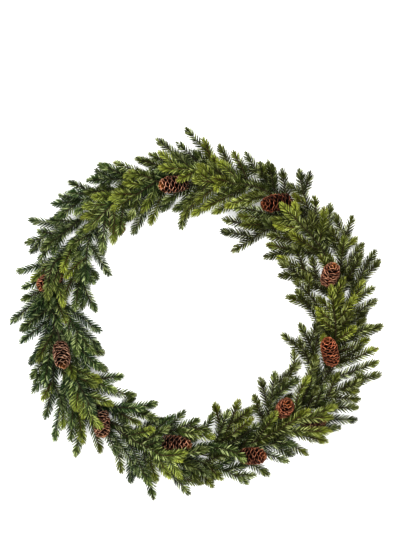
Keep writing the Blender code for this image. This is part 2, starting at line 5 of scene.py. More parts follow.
import bpy
import numpy as np
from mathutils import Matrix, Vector

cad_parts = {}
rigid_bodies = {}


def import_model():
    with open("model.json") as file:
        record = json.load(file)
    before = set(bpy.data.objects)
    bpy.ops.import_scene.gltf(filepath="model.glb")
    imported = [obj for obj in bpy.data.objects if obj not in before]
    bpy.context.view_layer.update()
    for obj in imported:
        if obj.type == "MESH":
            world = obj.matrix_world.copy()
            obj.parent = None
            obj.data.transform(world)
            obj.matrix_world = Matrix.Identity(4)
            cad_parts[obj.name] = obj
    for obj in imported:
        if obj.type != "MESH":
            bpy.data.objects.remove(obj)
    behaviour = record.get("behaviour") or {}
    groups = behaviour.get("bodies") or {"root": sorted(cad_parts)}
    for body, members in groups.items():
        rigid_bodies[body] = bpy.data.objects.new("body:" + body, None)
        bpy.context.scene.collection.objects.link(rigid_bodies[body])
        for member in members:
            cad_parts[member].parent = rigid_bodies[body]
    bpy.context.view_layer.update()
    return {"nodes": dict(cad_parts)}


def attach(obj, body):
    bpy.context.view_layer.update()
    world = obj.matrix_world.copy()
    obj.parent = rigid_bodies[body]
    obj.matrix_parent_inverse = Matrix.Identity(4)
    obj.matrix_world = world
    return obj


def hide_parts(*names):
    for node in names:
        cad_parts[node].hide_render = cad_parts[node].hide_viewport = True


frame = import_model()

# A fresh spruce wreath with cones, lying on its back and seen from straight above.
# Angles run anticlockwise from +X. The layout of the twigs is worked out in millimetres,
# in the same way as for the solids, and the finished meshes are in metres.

scene = bpy.context.scene
up = np.array([0.0, 0.0, 1.0])
mm = 0.001  # in metres
print("frame loaded,", len(frame["nodes"]), "solids")


# Small helpers for vectors, nodes and meshes

def polar(degrees, reach, height=0.0):
    angle = math.radians(degrees)
    return np.array([reach * math.cos(angle), reach * math.sin(angle), height])


def unit(vector):
    return vector / np.linalg.norm(vector)


def bezier(a, b, c, d, count):
    t = np.linspace(0.0, 1.0, count)[:, None]
    return a * (1 - t) ** 3 + 3 * b * t * (1 - t) ** 2 + 3 * c * t ** 2 * (1 - t) + d * t ** 3


def lineLengths(points):
    return np.concatenate([[0.0], np.cumsum(np.linalg.norm(np.diff(points, axis=0), axis=1))])


def resample(points, step):
    lengths = lineLengths(points)
    wanted = np.linspace(0.0, lengths[-1], max(3, int(round(lengths[-1] / step)) + 1))
    return np.stack([np.interp(wanted, lengths, points[:, i]) for i in range(3)], axis=1)


def nearestOn(start, end, points):
    line = end - start
    share = np.clip(((points - start) @ line) / np.dot(line, line), 0.0, 1.0)
    return start + share[:, None] * line


def nearestGap(points, others):
    return np.linalg.norm(points - others, axis=-1).min()


def linear(hexColour):
    # sRGB hex to the linear values that a shader works in
    parts = [int(hexColour[i:i + 2], 16) / 255 for i in (1, 3, 5)]
    return tuple(c / 12.92 if c <= 0.04045 else ((c + 0.055) / 1.055) ** 2.4 for c in parts) + (1.0,)


def setSockets(node, sockets):
    # a socket gets a value, another node's output, or a list of outputs
    for name, value in sockets.items():
        if isinstance(value, (list, bpy.types.NodeSocket)):
            for output in value if isinstance(value, list) else [value]:
                node.id_data.links.new(output, node.inputs[name])
        else:
            node.inputs[name].default_value = value


def addNode(tree, kind, sockets=(), output=0, **settings):
    # one node with its settings and links; a plain list fills its sockets in order
    node = tree.nodes.new(kind)
    for name, value in settings.items():
        setattr(node, name, value)
    setSockets(node, sockets if isinstance(sockets, dict) else dict(enumerate(sockets)))
    return node.outputs[output] if len(node.outputs) else None


def newTree(name, inputs):
    # an empty geometry tree whose inputs have the names and kinds given
    tree = bpy.data.node_groups.new(name, "GeometryNodeTree")
    tree.interface.new_socket("Geometry", in_out="INPUT", socket_type="NodeSocketGeometry")
    for label, kind in inputs.items():
        tree.interface.new_socket(label, in_out="INPUT", socket_type="NodeSocket" + kind)
    tree.interface.new_socket("Geometry", in_out="OUTPUT", socket_type="NodeSocketGeometry")
    return tree, partial(addNode, tree), tree.nodes.new("NodeGroupInput").outputs


def newMesh(name, points, edges, faces, attributes=None):
    mesh = bpy.data.meshes.new(name)
    mesh.from_pydata(np.asarray(points).tolist(), edges, faces)
    for label, values in (attributes or {}).items():
        layer = mesh.attributes.new(label, "FLOAT", "POINT")
        layer.data.foreach_set("value", np.asarray(values, np.float32))
    return mesh


def lineMesh(name, lines, attributes=None, closed=False):
    # polylines in millimetres as a mesh of edges in metres, with values for their points
    edges, start = [], 0
    for line in lines:
        count = len(line)
        edges += [(start + i, start + (i + 1) % count) for i in range(count if closed else count - 1)]
        start += count
    return newMesh(name, np.concatenate(lines) * mm, edges, [], attributes)


def taperedShape(name, sides, rings, place):
    # rings of corners one above the other, closed below and drawn to a point at height 1
    points, along = [], []
    for height, width in rings:
        for corner in range(sides):
            points.append(place(height, width, math.tau / sides * corner))
            along.append(height)
    points.append(place(1.0, 0.0, 0.0))
    along.append(1.0)
    faces = [tuple(reversed(range(sides)))]
    for row in range(len(rings)):
        for corner in range(sides):
            a, b = row * sides + corner, row * sides + (corner + 1) % sides
            above = (b + sides, a + sides) if row < len(rings) - 1 else (len(points) - 1,)
            faces.append((a, b) + above)
    return bpy.data.objects.new(name, newMesh(name, points, [], faces, {"along": along}))


def grow(name, base, tree, values):
    # runs a tree on a base mesh and keeps the result as a plain mesh of its own
    holder = bpy.data.objects.new(name + "Base", base)
    scene.collection.objects.link(holder)
    modifier = holder.modifiers.new("grow", "NODES")
    modifier.node_group = tree
    for item in tree.interface.items_tree:
        if item.in_out == "INPUT" and item.name in values:
            modifier[item.identifier] = values[item.name]
    depsgraph = bpy.context.evaluated_depsgraph_get()
    mesh = bpy.data.meshes.new_from_object(
        holder.evaluated_get(depsgraph), preserve_all_data_layers=True, depsgraph=depsgraph)
    holder.modifiers.remove(modifier)
    bpy.data.objects.remove(holder)
    mesh.name = name
    piece = bpy.data.objects.new(name, mesh)
    scene.collection.objects.link(piece)
    return piece


# Where everything lies, in millimetres

ring = {
    "radius": 285.0,
    "wire": 2.9,       # radius of the round wire
    "sides": 14,       # of its section
    "lengths": 240,    # that make up the circle
    "height": 4.42,    # of the middle of the wire above the surface
    "bunches": 20,
    "sixSided": 3.2,   # corner radius of the solid's section, which the twigs keep clear of
}
bunchStep = 360.0 / ring["bunches"]

stems = {
    "lanes": {-1: (-3.4, 3.6), 0: (0.0, 4.6), 1: (3.4, 3.6)},  # outwards and up from the ring's wire
    "laneNames": {-1: "inner", 0: "top", 1: "outer"},
    "climbs": {-1: (0.2, 0.3), 0: (0.45, 0.0), 1: (0.2, 0.3)},  # early and late in a main twig
    "sweep": 0.35,       # how much a main twig's tip turns outwards or inwards
    "length": 22.0,      # straight along the ring under the binding wire
    "straight": 7,       # points of that length
    "sample": 4.0,       # from one point of a middle line to the next
    "bare": 40.0,        # without forks, past the middle of a main twig's stem
    "forkAngle": 38.0,   # that a side twig likes to leave at, in degrees
    "sideLength": 75.0,
    "byLength": 0.6,     # of that, up to the place that a bent side twig passes
    # how far a curve's two ends run straight on, as shares of its length
    "mainHandles": (0.32, 0.34),
    "sideHandle": 0.33,
    "bentHandle": 0.7,
    "forkLean": 0.15,    # how much wider than straight to its tip a side twig leaves
    "tipClimb": 0.35,    # of a side twig's climb is left at its tip
    "lengthCost": 0.35,  # against one degree of fork angle
    "takenCost": 25.0,   # for a second side twig at the same place
    "sideBare": 9.0,     # the same past the foot of a side twig
    "whorlStep": 23.5,   # between the last two places on a twig where another may fork off
    "whorlGrowth": 1.12,  # and how much longer each step before that is
    "whorlLength": 2.9,  # left over at the tip
}

room = {
    "twigs": 10.5,       # between the middle lines of two twigs that pass each other
    "laterTwigs": 9.0,   # the same for the tips that only the finished wreath has
    "fork": 22.0,        # round a fork, where its two twigs may come as close as they like
    "ring": 10.0,        # from the middle of the ring's wire
    "bunch": 15.0,       # the same where the binding wire is
    "bunchSpan": 4.0,    # degrees to either side of a bunch
    "cone": 24.0,        # from a cone's middle line
    "coneEnd": 9.0,      # left off that line at either end
    "stalk": 7.0,        # from a stalk's middle line
    "lowest": 9.0,       # height of a twig's middle line
    "highest": 90.0,
    "sameHeight": 4.0,   # twigs closer in height than this pass over and under
    "passing": 3.0,      # how strongly they do
    "freeFrom": 30.0,    # past its stem, from where a main twig moves freely
    "kept": 0.985,       # of the sideways movement after each round
    "lookEvery": 10,     # rounds, for twigs that have come close
    "lookAhead": 9.0,    # more than their spacing
    # how readily a twig gives way along X, Y and Z, and how much of an overlap goes in one round
    "solidWays": (0.6, 0.6, 1.0),
    "twigWays": (0.45, 0.45, 1.0),
    "stalkWays": (0.75, 0.75, 0.15),
    "solidStep": 0.5,
    "twigStep": 0.25,
    "ceilingStep": 0.3,
}

stalkShape = {
    "climb": 16.0,   # straight up from the ring
    "bend": 20.0,    # before the cone, where it heads for the cone's middle line
    "into": 4.0,     # how far it runs inside the cone
    "sample": 2.5,
    "seat": 0.3,     # from the top of the ring's wire
}

# Bunch, lane on the ring (-1 inside, 0 top, 1 outside) and the twigs' tips as degrees, reach, height.
# The first tip ends the main twig, the others are side twigs.
sprays = [
    (0, 1, [(31.5, 368, 30), (22.5, 362, 20), (27, 332, 48)]),
    (1, 1, [(54, 354, 26), (44.5, 330, 50), (39, 348, 22)]),
    (2, 1, [(72.5, 336, 30), (64.5, 334, 52), (59, 336, 22)]),
    (3, 1, [(90.5, 324, 30), (82, 340, 20), (77, 330, 48)]),
    (4, 1, [(106, 332, 34), (102.5, 358, 24), (93, 370, 40), (96, 340, 56)]),
    (5, 1, [(127.5, 344, 28), (122.5, 352, 50), (117, 308, 64), (111, 332, 40)]),
    (6, 1, [(142.5, 364, 24), (134, 366, 38), (132, 326, 56)]),
    (7, 1, [(157.5, 370, 30), (150.7, 384, 22), (157, 332, 60)]),
    (8, 1, [(178.5, 332, 26), (166.8, 370, 22), (171.5, 350, 44), (168.5, 330, 60)]),
    (9, 1, [(196, 340, 30), (182.6, 374, 24), (189, 354, 50)]),
    (10, 1, [(214.5, 370, 26), (201, 354, 42), (205.5, 366, 22), (205, 334, 62)]),
    (11, 1, [(235, 340, 28), (229.5, 376, 22), (221.5, 380, 44)]),
    (12, 1, [(250.5, 348, 26), (244.5, 350, 42), (240, 320, 58)]),
    (13, 1, [(267.3, 364, 24), (256.7, 380, 38), (254.5, 352, 56)]),
    (14, 1, [(286.5, 356, 28), (275, 350, 22), (274, 320, 60)]),
    (15, 1, [(306.5, 330, 30), (293.8, 356, 24), (301.5, 346, 48)]),
    (16, 1, [(321, 368, 26), (308, 360, 22), (315.3, 364, 44), (322, 326, 60)]),
    (17, 1, [(341.5, 388, 30), (326, 386, 24), (337.5, 356, 50)]),
    (18, 1, [(357.5, 338, 26), (344.8, 374, 44), (356, 374, 22)]),
    (19, 1, [(379, 380, 30), (364, 362, 24), (368.3, 356, 56)]),
    (0, -1, [(33.8, 200, 40), (24, 186, 24)]),
    (1, -1, [(47, 212, 56), (39, 180, 26)]),
    (2, -1, [(59.5, 147, 26), (62, 200, 50), (72.5, 173, 34)]),
    (4, -1, [(106.5, 232, 44), (96, 214, 58), (100, 176, 26)]),
    (5, -1, [(128, 206, 36), (117, 204, 26)]),
    (7, -1, [(164, 230, 56), (156, 194, 26)]),
    (8, -1, [(178, 204, 30), (177.5, 242, 56)]),
    (9, -1, [(200.5, 220, 50), (190, 200, 26)]),
    (10, -1, [(210, 219, 50)]),
    (11, -1, [(232, 208, 40), (220, 198, 26), (223, 224, 56)]),
    (12, -1, [(245.5, 200, 28), (240, 218, 56)]),
    (13, -1, [(270.5, 214, 50), (257, 210, 60), (262.5, 202, 28)]),
    (15, -1, [(295.5, 196, 38), (281.5, 188, 26), (299, 220, 58)]),
    (16, -1, [(322.5, 198, 40), (305, 202, 54), (314, 186, 26)]),
    (18, -1, [(353.5, 210, 38), (346, 180, 26), (346, 210, 60)]),
    (19, -1, [(379, 208, 42), (370, 188, 28)]),
    (1, 0, [(52, 274, 74), (40, 286, 66), (40, 246, 60)]),
    (3, 0, [(91, 266, 66), (82.5, 270, 84), (86, 210, 78), (80, 206, 62)]),
    (4, 0, [(103.5, 298, 80), (97, 268, 84)]),
    (5, 0, [(128.5, 266, 74), (124, 286, 82)]),
    (6, 0, [(142.5, 274, 82), (133.5, 220, 86), (146, 226, 66)]),
    (8, 0, [(173, 296, 84), (161.5, 278, 80)]),
    (10, 0, [(224.5, 282, 84), (207, 276, 72)]),
    (13, 0, [(263.5, 291, 76), (269, 306, 64), (249, 244, 80)]),
    (16, 0, [(319, 292, 78), (308.5, 252, 74)]),
    (19, 0, [(371, 272, 76), (367.5, 244, 68), (373, 298, 84)]),
]

# More side twigs, which only the finished wreath has: bunch, lane, tips
moreTips = [
    (0, 1, [(20, 350, 56)]),
    (2, 1, [(67, 324, 60), (66, 238, 72, 58, 290, 56)]),
    (3, 1, [(84, 314, 56)]),
    (5, 1, [(129, 342, 52)]),
    (6, 1, [(139, 360, 48), (136.5, 350, 58)]),
    (7, 1, [(152.5, 356, 42), (161.5, 330, 44)]),
    (8, 1, [(175.5, 350, 30)]),
    (9, 1, [(185, 352, 42, 181.5, 318, 48), (181.5, 340, 34)]),
    (10, 1, [(215.5, 326, 46), (209, 352, 40)]),
    (11, 1, [(228.5, 342, 54), (225, 358, 36), (222, 336, 50), (220.2, 350, 50)]),
    (13, 1, [(260.5, 328, 46)]),
    (14, 1, [(278.5, 334, 44), (288, 303, 84, 284.5, 258, 78), (277, 262, 62), (289.5, 344, 46)]),
    (15, 1, [(299, 252, 66)]),
    (17, 1, [(329.5, 370, 50), (332, 368, 36), (339.5, 352, 40), (332, 264, 62), (340, 256, 46)]),
    (18, 1, [(348.7, 364, 52), (349, 334, 62)]),
    (19, 1, [(375.8, 382, 22), (370.5, 340, 40)]),
    (0, -1, [(31, 196, 56)]),
    (1, -1, [(43.5, 200, 40)]),
    (2, -1, [(73, 196, 60), (71.5, 225, 66, 57.5, 246, 62), (66, 214, 44, 54.5, 236, 46)]),
    (4, -1, [(108, 220, 28), (101.5, 212, 50)]),
    (9, -1, [(199, 208, 34)]),
    (10, -1, [(212, 216, 30), (209, 222, 58)]),
    (12, -1, [(242, 246, 64), (249, 226, 44)]),
    (13, -1, [(279, 206, 48, 274, 250, 50), (276, 236, 58), (277.5, 248, 54)]),
    (15, -1, [(297.5, 236, 68), (288, 206, 52)]),
    (16, -1, [(327, 240, 60), (334, 228, 56), (338.5, 208, 44, 330.5, 238, 48)]),
    (19, -1, [(372.5, 206, 56)]),
    (3, 0, [(81, 250, 72), (98, 194, 52, 91, 218, 60), (74, 222, 72), (90, 222, 70), (91.5, 198, 64)]),
    (6, 0, [(139, 218, 76)]),
    (8, 0, [(173.5, 294, 90, 159, 312, 84)]),
    (10, 0, [(220, 276, 66), (229.5, 290, 88, 222, 293, 84)]),
    (13, 0, [(256, 234, 64), (265, 275, 88, 256, 294, 82), (274, 268, 66)]),
    (16, 0, [(322.5, 334, 82, 315, 292, 80), (318.5, 350, 76), (326, 330, 74), (330, 254, 74)]),
]

# Cones: the end with the stalk and the free end, as degrees, reach, height, then the degrees at which
# the stalk meets the ring
cones = [
    ((12.5, 266, 44), (20, 290, 86), 9.5),
    ((50, 298, 46), (59.5, 249, 68), 46.5),
    ((93, 262, 52), (107, 266, 62), 85.5),
    ((132.5, 282, 48), (132.5, 215, 56), 135.5),
    ((163.5, 284, 42), (171, 320, 70), 157.5),
    ((192, 280, 42), (202, 283, 84), 185.5),
    ((225, 270, 50), (233, 312, 60), 221.5),
    ((254, 266, 50), (268.5, 266, 60), 247),
    ((286, 297, 46), (296.5, 316, 66), 281),
    ((313.5, 298, 36), (320.5, 338, 54), 310.5),
    ((309.8, 264, 36), (316.3, 252, 88), 308.5),
    ((339, 293, 46), (350, 262, 74), 335.5),
]


def bunchFrame(bunch):
    # the middle of the ring's wire at a bunch, then the ways along the ring and outwards
    outwards = polar(bunch * bunchStep, 1.0)
    return outwards * ring["radius"] + up * ring["height"], np.cross(up, outwards), outwards


class Twig:
    # a middle line, the twig it grows from, and its whorls, where other twigs may fork off
    def __init__(self, spray, points, bare, parent=None, knot=0):
        self.spray = spray
        self.points = points
        self.parent = parent
        self.knot = knot
        self.taken = []
        self.settled = False
        length = lineLengths(points)[-1]
        span = length - bare - stems["whorlLength"]
        steps = [stems["whorlStep"]]
        while sum(steps) < span - 0.5 * steps[-1]:
            steps.append(steps[-1] * stems["whorlGrowth"])
        steps = np.array(steps[::-1]) * span / sum(steps)
        places = bare + np.concatenate([[0.0], np.cumsum(steps)])
        self.whorls = places * (len(points) - 1) / length

    def at(self, position):
        low = int(min(max(math.floor(position), 0), len(self.points) - 2))
        return self.points[low] + (self.points[low + 1] - self.points[low]) * (position - low)

    def heading(self, position):
        return unit(self.at(position + 0.5) - self.at(position - 0.5))


def mainTwig(spray, bunch, lane, tip):
    middle, along, outwards = bunchFrame(bunch)
    laneOut, laneUp = stems["lanes"][lane]
    start = middle + outwards * laneOut + up * laneUp
    leave = start + along * stems["length"] / 2
    end = polar(*tip)
    reach = np.linalg.norm(end - leave)
    climb = end[2] - leave[2]
    early, late = stems["climbs"][lane]
    level = unit((end - leave) * np.array([1.0, 1.0, 0.0]))
    arrive = unit(level + stems["sweep"] * lane * polar(tip[0], 1.0))
    firstHandle, lastHandle = stems["mainHandles"]
    second = leave + along * firstHandle * reach + up * early * climb
    third = end - arrive * lastHandle * reach - up * late * climb
    straight = np.linspace(start - along * stems["length"] / 2, leave, stems["straight"])
    curve = resample(bezier(leave, second, third, end, 80), stems["sample"])
    return Twig(spray, np.concatenate([straight, curve[1:]]), stems["length"] / 2 + stems["bare"])


def sideTwig(spray, parent, tip):
    # six numbers: the tip, then a place that the twig passes on its way
    end = polar(*tip[:3])
    by = polar(*tip[3:]) if len(tip) == 6 else None
    wanted = stems["sideLength"] * (1.0 if by is None else stems["byLength"])
    costs = []
    for knot, position in enumerate(parent.whorls[:-1]):
        way = (end if by is None else by) - parent.at(position)
        cosine = np.dot(unit(way), parent.heading(position))
        fork = math.degrees(math.acos(max(-1.0, min(1.0, cosine))))
        cost = abs(fork - stems["forkAngle"]) + stems["lengthCost"] * abs(np.linalg.norm(way[:2]) - wanted)
        costs.append(cost + (stems["takenCost"] if knot in parent.taken else 0.0))
    knot = int(np.argmin(costs))
    parent.taken.append(knot)
    base = parent.at(parent.whorls[knot])
    if by is None:
        reach = np.linalg.norm((end - base)[:2])
        towards = unit(end - base)
        first = unit(towards - stems["forkLean"] * parent.heading(parent.whorls[knot]))
        level = unit(towards * np.array([1.0, 1.0, stems["tipClimb"]]))
        handle = stems["sideHandle"]
        line = bezier(base, base + first * handle * reach, end - level * handle * reach, end, 50)
    else:
        handle = stems["bentHandle"]
        line = bezier(base, base + (by - base) * handle, end - (end - by) * handle, end, 50)
    return Twig(spray, resample(line, stems["sample"]), stems["sideBare"], parent, knot)


def drawTwigs():
    twigs = []
    for spray, (bunch, lane, tips) in enumerate(sprays):
        parent = mainTwig(spray, bunch, lane, tips[0])
        twigs.append(parent)
        for tip in tips[1:]:
            twigs.append(sideTwig(spray, parent, tip))
    return twigs


def coneLines():
    ends, stalks = [], []
    seatHeight = ring["height"] + ring["sixSided"] * math.cos(math.radians(30)) + stalkShape["seat"]
    for fixed, free, foot in cones:
        start, end = polar(*fixed), polar(*free)
        seat = polar(foot, ring["radius"], seatHeight)
        bend = start - unit(end - start) * stalkShape["bend"]
        stalks.append(bezier(seat, seat + up * stalkShape["climb"], bend, start, 5))
        ends.append((start, end))
    return ends, stalks


def pushOut(points, centres, clear):
    # how far points have to move to be clear of the middle line of something solid
    away = points - centres
    short = np.maximum(clear - np.linalg.norm(away, axis=1), 0.0)
    direction = away * np.array(room["solidWays"])
    direction[:, 2] += np.where(away[:, 2] >= 0, 1.0, -1.0)
    direction /= np.linalg.norm(direction, axis=1)[:, None]
    return direction * short[:, None]


def coneMiddles(cone, points):
    # for each point the nearest place on a cone's middle line
    axis = unit(cone[1] - cone[0])
    return nearestOn(cone[0] + axis * room["coneEnd"], cone[1] - axis * room["coneEnd"], points)


def onRing(points):
    # for each point the nearest place on the ring's middle line
    flat = points[:, :2] / np.linalg.norm(points[:, :2], axis=1)[:, None] * ring["radius"]
    return np.column_stack([flat, np.full(len(points), ring["height"])])


def ringClearance(points):
    degrees = np.degrees(np.arctan2(points[:, 1], points[:, 0]))
    fromBunch = np.abs((degrees + bunchStep / 2) % bunchStep - bunchStep / 2)
    return np.where(fromBunch < room["bunchSpan"], room["bunch"], room["ring"])


def closePairs(points, owner, reach):
    # pairs of points on different twigs that lie within reach of each other
    left, right = [], []
    for index in range(len(points)):
        rest = points[index + 1:]
        near = np.abs(rest[:, 0] - points[index, 0]) < reach
        near &= np.abs(rest[:, 1] - points[index, 1]) < reach
        near &= owner[index + 1:] != owner[index]
        found = np.nonzero(near)[0]
        found = found[np.linalg.norm(rest[found] - points[index], axis=1) < reach]
        left.append(np.full(len(found), index))
        right.append(found + index + 1)
    return np.concatenate(left), np.concatenate(right)


def roundAFork(left, right, drawn, owner, fork):
    # pairs that lie close together only because their twigs fork there
    shared = np.zeros(len(left), bool)
    for one, other in ((left, right), (right, left)):
        start = fork[one]
        near = np.linalg.norm(drawn[other] - drawn[start], axis=1) < room["fork"]
        same = (owner[other] == owner[start]) | (fork[other] == start)
        shared |= (start >= 0) & near & same
    return shared


def pushesBetween(points, left, right, order, spacing):
    away = points[left] - points[right]
    short = np.maximum(spacing - np.linalg.norm(away, axis=1), 0.0)
    direction = away * np.array(room["twigWays"])
    over = np.where(order[left] > order[right], 1.0, -1.0)
    direction[:, 2] += over * np.where(np.abs(away[:, 2]) < room["sameHeight"], room["passing"], 0.0)
    direction /= np.linalg.norm(direction, axis=1)[:, None]
    push = np.zeros_like(points)
    np.add.at(push, left, direction * short[:, None] * room["twigStep"])
    np.add.at(push, right, -direction * short[:, None] * room["twigStep"])
    return push


def pushesFromRest(points, ends, stalks):
    step = room["solidStep"]
    push = pushOut(points, onRing(points), ringClearance(points)) * step
    for cone, stalk in zip(ends, stalks):
        push += pushOut(points, coneMiddles(cone, points), room["cone"]) * step
        for a, b in zip(stalk[:-1], stalk[1:]):
            sideways = pushOut(points, nearestOn(a, b, points), room["stalk"])
            push += sideways * np.array(room["stalkWays"])
    push[:, 2] += np.maximum(room["lowest"] - points[:, 2], 0.0) * step
    push[:, 2] -= np.maximum(points[:, 2] - room["highest"], 0.0) * room["ceilingStep"]
    return push


def spreadTwigs(twigs, ends, stalks, rounds=90, spacing=room["twigs"]):
    # moves twigs apart, and off the cones, the ring and the surface; settled ones stay
    counts = [len(twig.points) for twig in twigs]
    starts = np.concatenate([[0], np.cumsum(counts)])
    drawn = np.concatenate([twig.points for twig in twigs])
    owner = np.repeat(np.arange(len(twigs)), counts)
    order = np.argsort(np.argsort(drawn[:, 2] + owner * 0.01))  # the higher one goes over, else the later
    freedom = np.ones(len(drawn))
    fork = np.full(len(drawn), -1)
    for index, twig in enumerate(twigs):
        own = slice(starts[index], starts[index + 1])
        if twig.settled:
            freedom[own] = 0.0
        elif twig.parent is None:
            pastStem = np.arange(counts[index]) * stems["sample"] - stems["length"] - stems["sample"]
            freedom[own] = np.clip(pastStem / room["freeFrom"], 0.0, 1.0)
        if twig.parent is not None:
            fork[own] = starts[twigs.index(twig.parent)] + int(round(twig.parent.whorls[twig.knot]))

    moved = np.zeros_like(drawn)
    for turn in range(rounds):
        points = drawn + moved
        if turn % room["lookEvery"] == 0:
            left, right = closePairs(points, owner, spacing + room["lookAhead"])
            apart = ~roundAFork(left, right, drawn, owner, fork)
            left, right = left[apart], right[apart]
        push = pushesBetween(points, left, right, order, spacing) + pushesFromRest(points, ends, stalks)
        moved += push * freedom[:, None]
        moved[:, :2] *= room["kept"]
        for index, twig in enumerate(twigs):
            if twig.settled:
                continue
            own = moved[starts[index]:starts[index + 1]]
            if twig.parent is not None:
                own[0] = moved[fork[starts[index]]]
            for _ in range(2):  # smooths the line
                own[1:-1] = 0.5 * own[1:-1] + 0.25 * (own[:-2] + own[2:])
                own[-1] = 0.7 * own[-1] + 0.3 * own[-2]
            if twig.parent is None:
                own[:stems["straight"]] = 0.0
    for index, twig in enumerate(twigs):
        if not twig.settled:
            twig.points = (drawn + moved)[starts[index]:starts[index + 1]]
            twig.settled = True


ends, stalks = coneLines()
twigs = drawTwigs()
spreadTwigs(twigs, ends, stalks)
print("twigs of the solids laid out:", len(twigs))

leaders = {sprays[twig.spray][:2]: twig for twig in twigs if twig.parent is None}
for bunch, lane, tips in moreTips:
    parent = leaders[bunch, lane]
    for tip in tips:
        twigs.append(sideTwig(parent.spray, parent, tip))
spreadTwigs(twigs, ends, stalks, rounds=60, spacing=room["laterTwigs"])
print("with the further tips:", len(twigs))

# Side twigs that fill out each frond, wherever there is room for one
filling = {
    "every": 24.0,        # along a main twig
    "everyRange": (0.85, 1.15),
    "firstAt": 30.0,      # past its stem
    "lastAt": 24.0,       # before its end
    "angle": (34, 52),    # of the fork, in degrees
    "pitches": (-26, -12, 0, 12, 26),  # upwards in degrees, of which the one with most room is taken
    "pitchRange": (-5, 5),
    "length": (44, 84),
    "taper": (1.1, 0.5),  # share of the length at a main twig's start, and how much is lost by its end
    "turnIn": 0.7,        # of the fork's angle is left at the tip
    "levelOut": 0.4,      # of the pitch is left there
    "handle": 0.35,       # share of the length that its two ends run straight on
    "spacing": 10.5,      # from other twigs, middle line to middle line
    "cone": 23.0,
    "ring": 12.0,
    "reach": (206, 366),  # nearest and furthest that a tip may lie from the wreath's middle
    "height": (10, 84),
    "ownPoints": 4,       # points at its foot that may lie near the main twig
    "seed": 11,
    # places at the wreath's edge that stay open between two fronds: degrees, reach
    "open": [
        (47, 352), (347, 236), (326, 214), (216, 354), (192, 352), (282, 352), (31, 258), (261, 350),
        (252, 336), (254, 318), (90.5, 322), (112, 230), (207, 312), (232.5, 356), (103, 352), (310, 217),
        (237, 316), (300, 333), (291, 339), (227, 218)],
    "openReach": 20.0,
}


def fillingLine(base, heading, sideways, angle, rise, reach):
    last = angle * filling["turnIn"]
    first = unit(heading * math.cos(angle) + sideways * math.sin(angle) + up * rise)
    turnIn = unit(heading * math.cos(last) + sideways * math.sin(last) + up * rise * filling["levelOut"])
    end = base + first * reach * 0.5 + turnIn * reach * 0.5
    handle = filling["handle"]
    return bezier(base, base + first * handle * reach, end - turnIn * handle * reach, end, 24)


def fitsIn(free, openPlaces):
    # whether a line stays in the wreath, off the surface, and clear of the ring, cones and open places
    nearest, furthest = filling["reach"]
    lowest, highest = filling["height"]
    return (nearest < math.hypot(*free[-1, :2]) < furthest
            and lowest <= free[:, 2].min() and free[:, 2].max() <= highest
            and nearestGap(free, onRing(free)) >= filling["ring"]
            and min(nearestGap(free, coneMiddles(cone, free)) for cone in ends) >= filling["cone"]
            and nearestGap(free[-1, :2], openPlaces) >= filling["openReach"])


def fillTwigs(twigs):
    random = np.random.default_rng(filling["seed"])
    taken = np.concatenate([twig.points for twig in twigs])
    openPlaces = np.array([polar(*place)[:2] for place in filling["open"]])
    full, lost = filling["taper"]
    made = []
    for parent in [twig for twig in twigs if twig.parent is None]:
        length = lineLengths(parent.points)[-1]
        sideSign = 1 if parent.spray % 2 else -1
        place = stems["length"] + filling["firstAt"]
        while place < length - filling["lastAt"]:
            position = place * ((len(parent.points) - 1) / length)
            base, heading = parent.at(position), parent.heading(position)
            for sign in (sideSign, -sideSign):
                sideways = unit(np.cross(up, heading)) * sign
                reach = random.uniform(*filling["length"]) * (full - lost * place / length)
                angle = math.radians(random.uniform(*filling["angle"]))
                best, bestGap = None, filling["spacing"]
                for pitch in filling["pitches"]:
                    rise = math.tan(math.radians(pitch + random.uniform(*filling["pitchRange"])))
                    line = fillingLine(base, heading, sideways, angle, rise, reach)
                    line = resample(line, stems["sample"])
                    free = line[filling["ownPoints"]:]
                    if not fitsIn(free, openPlaces):
                        continue
                    gap = nearestGap(free[:, None], taken[None])
                    if gap > bestGap:
                        best, bestGap = line, gap
                if best is not None:
                    made.append(Twig(parent.spray, best, stems["sideBare"], parent))
                    taken = np.concatenate([taken, best])
            sideSign = -sideSign
            place += filling["every"] * random.uniform(*filling["everyRange"])
    return made


filled = fillTwigs(twigs)
twigs += filled
print("and", len(filled), "filling twigs:", len(twigs))


# Materials

def newMaterial(name):
    material = bpy.data.materials.new(name)
    material.use_nodes = True
    tree = material.node_tree
    return material, partial(addNode, tree), tree.nodes["Principled BSDF"]


noiseSpan = (0.3, 0.7)   # where nearly all of a noise's values lie

# Spruce needles: waxy, four-sided, dark blue-green when old and yellow-green on new growth
needleLook = {
    "colours": {
        "old": "#3c4010",
        "oldBlue": "#2a4126",
        "new": "#52591a",
        "newCool": "#495726",
        "newTip": "#7d8134",
        # root: painted shade deep inside the twig, where the needles' roots are
        "root": "#181706",
        "pale": "#959a74",      # the waxy bands on the underside, turned up on some needles, and partly a painted highlight on older needles
    },
    "rootShare": (0.78, 0.36),  # how much of the root's painted shade, and how far along the needle it fades out
    "paleFrom": 0.6,            # the tint from which a needle turns pale
    "paleShare": 0.6,
    "tints": (0.34, 2.06),      # brightness of the darkest and the lightest needle
    "under": (-0.5, 0.45, 0.4),  # painted shade on needles that point down: how far up the darkest and the brightest point, brightness of the darkest
    "bloom": 320.0,             # patches of wax in a metre, about 3 mm each
    "bloomDetail": 3.0,
    "bloomValues": (0.86, 1.14),
    "roughness": 0.42,
    "ior": 1.45,
    "specular": 0.33,
}


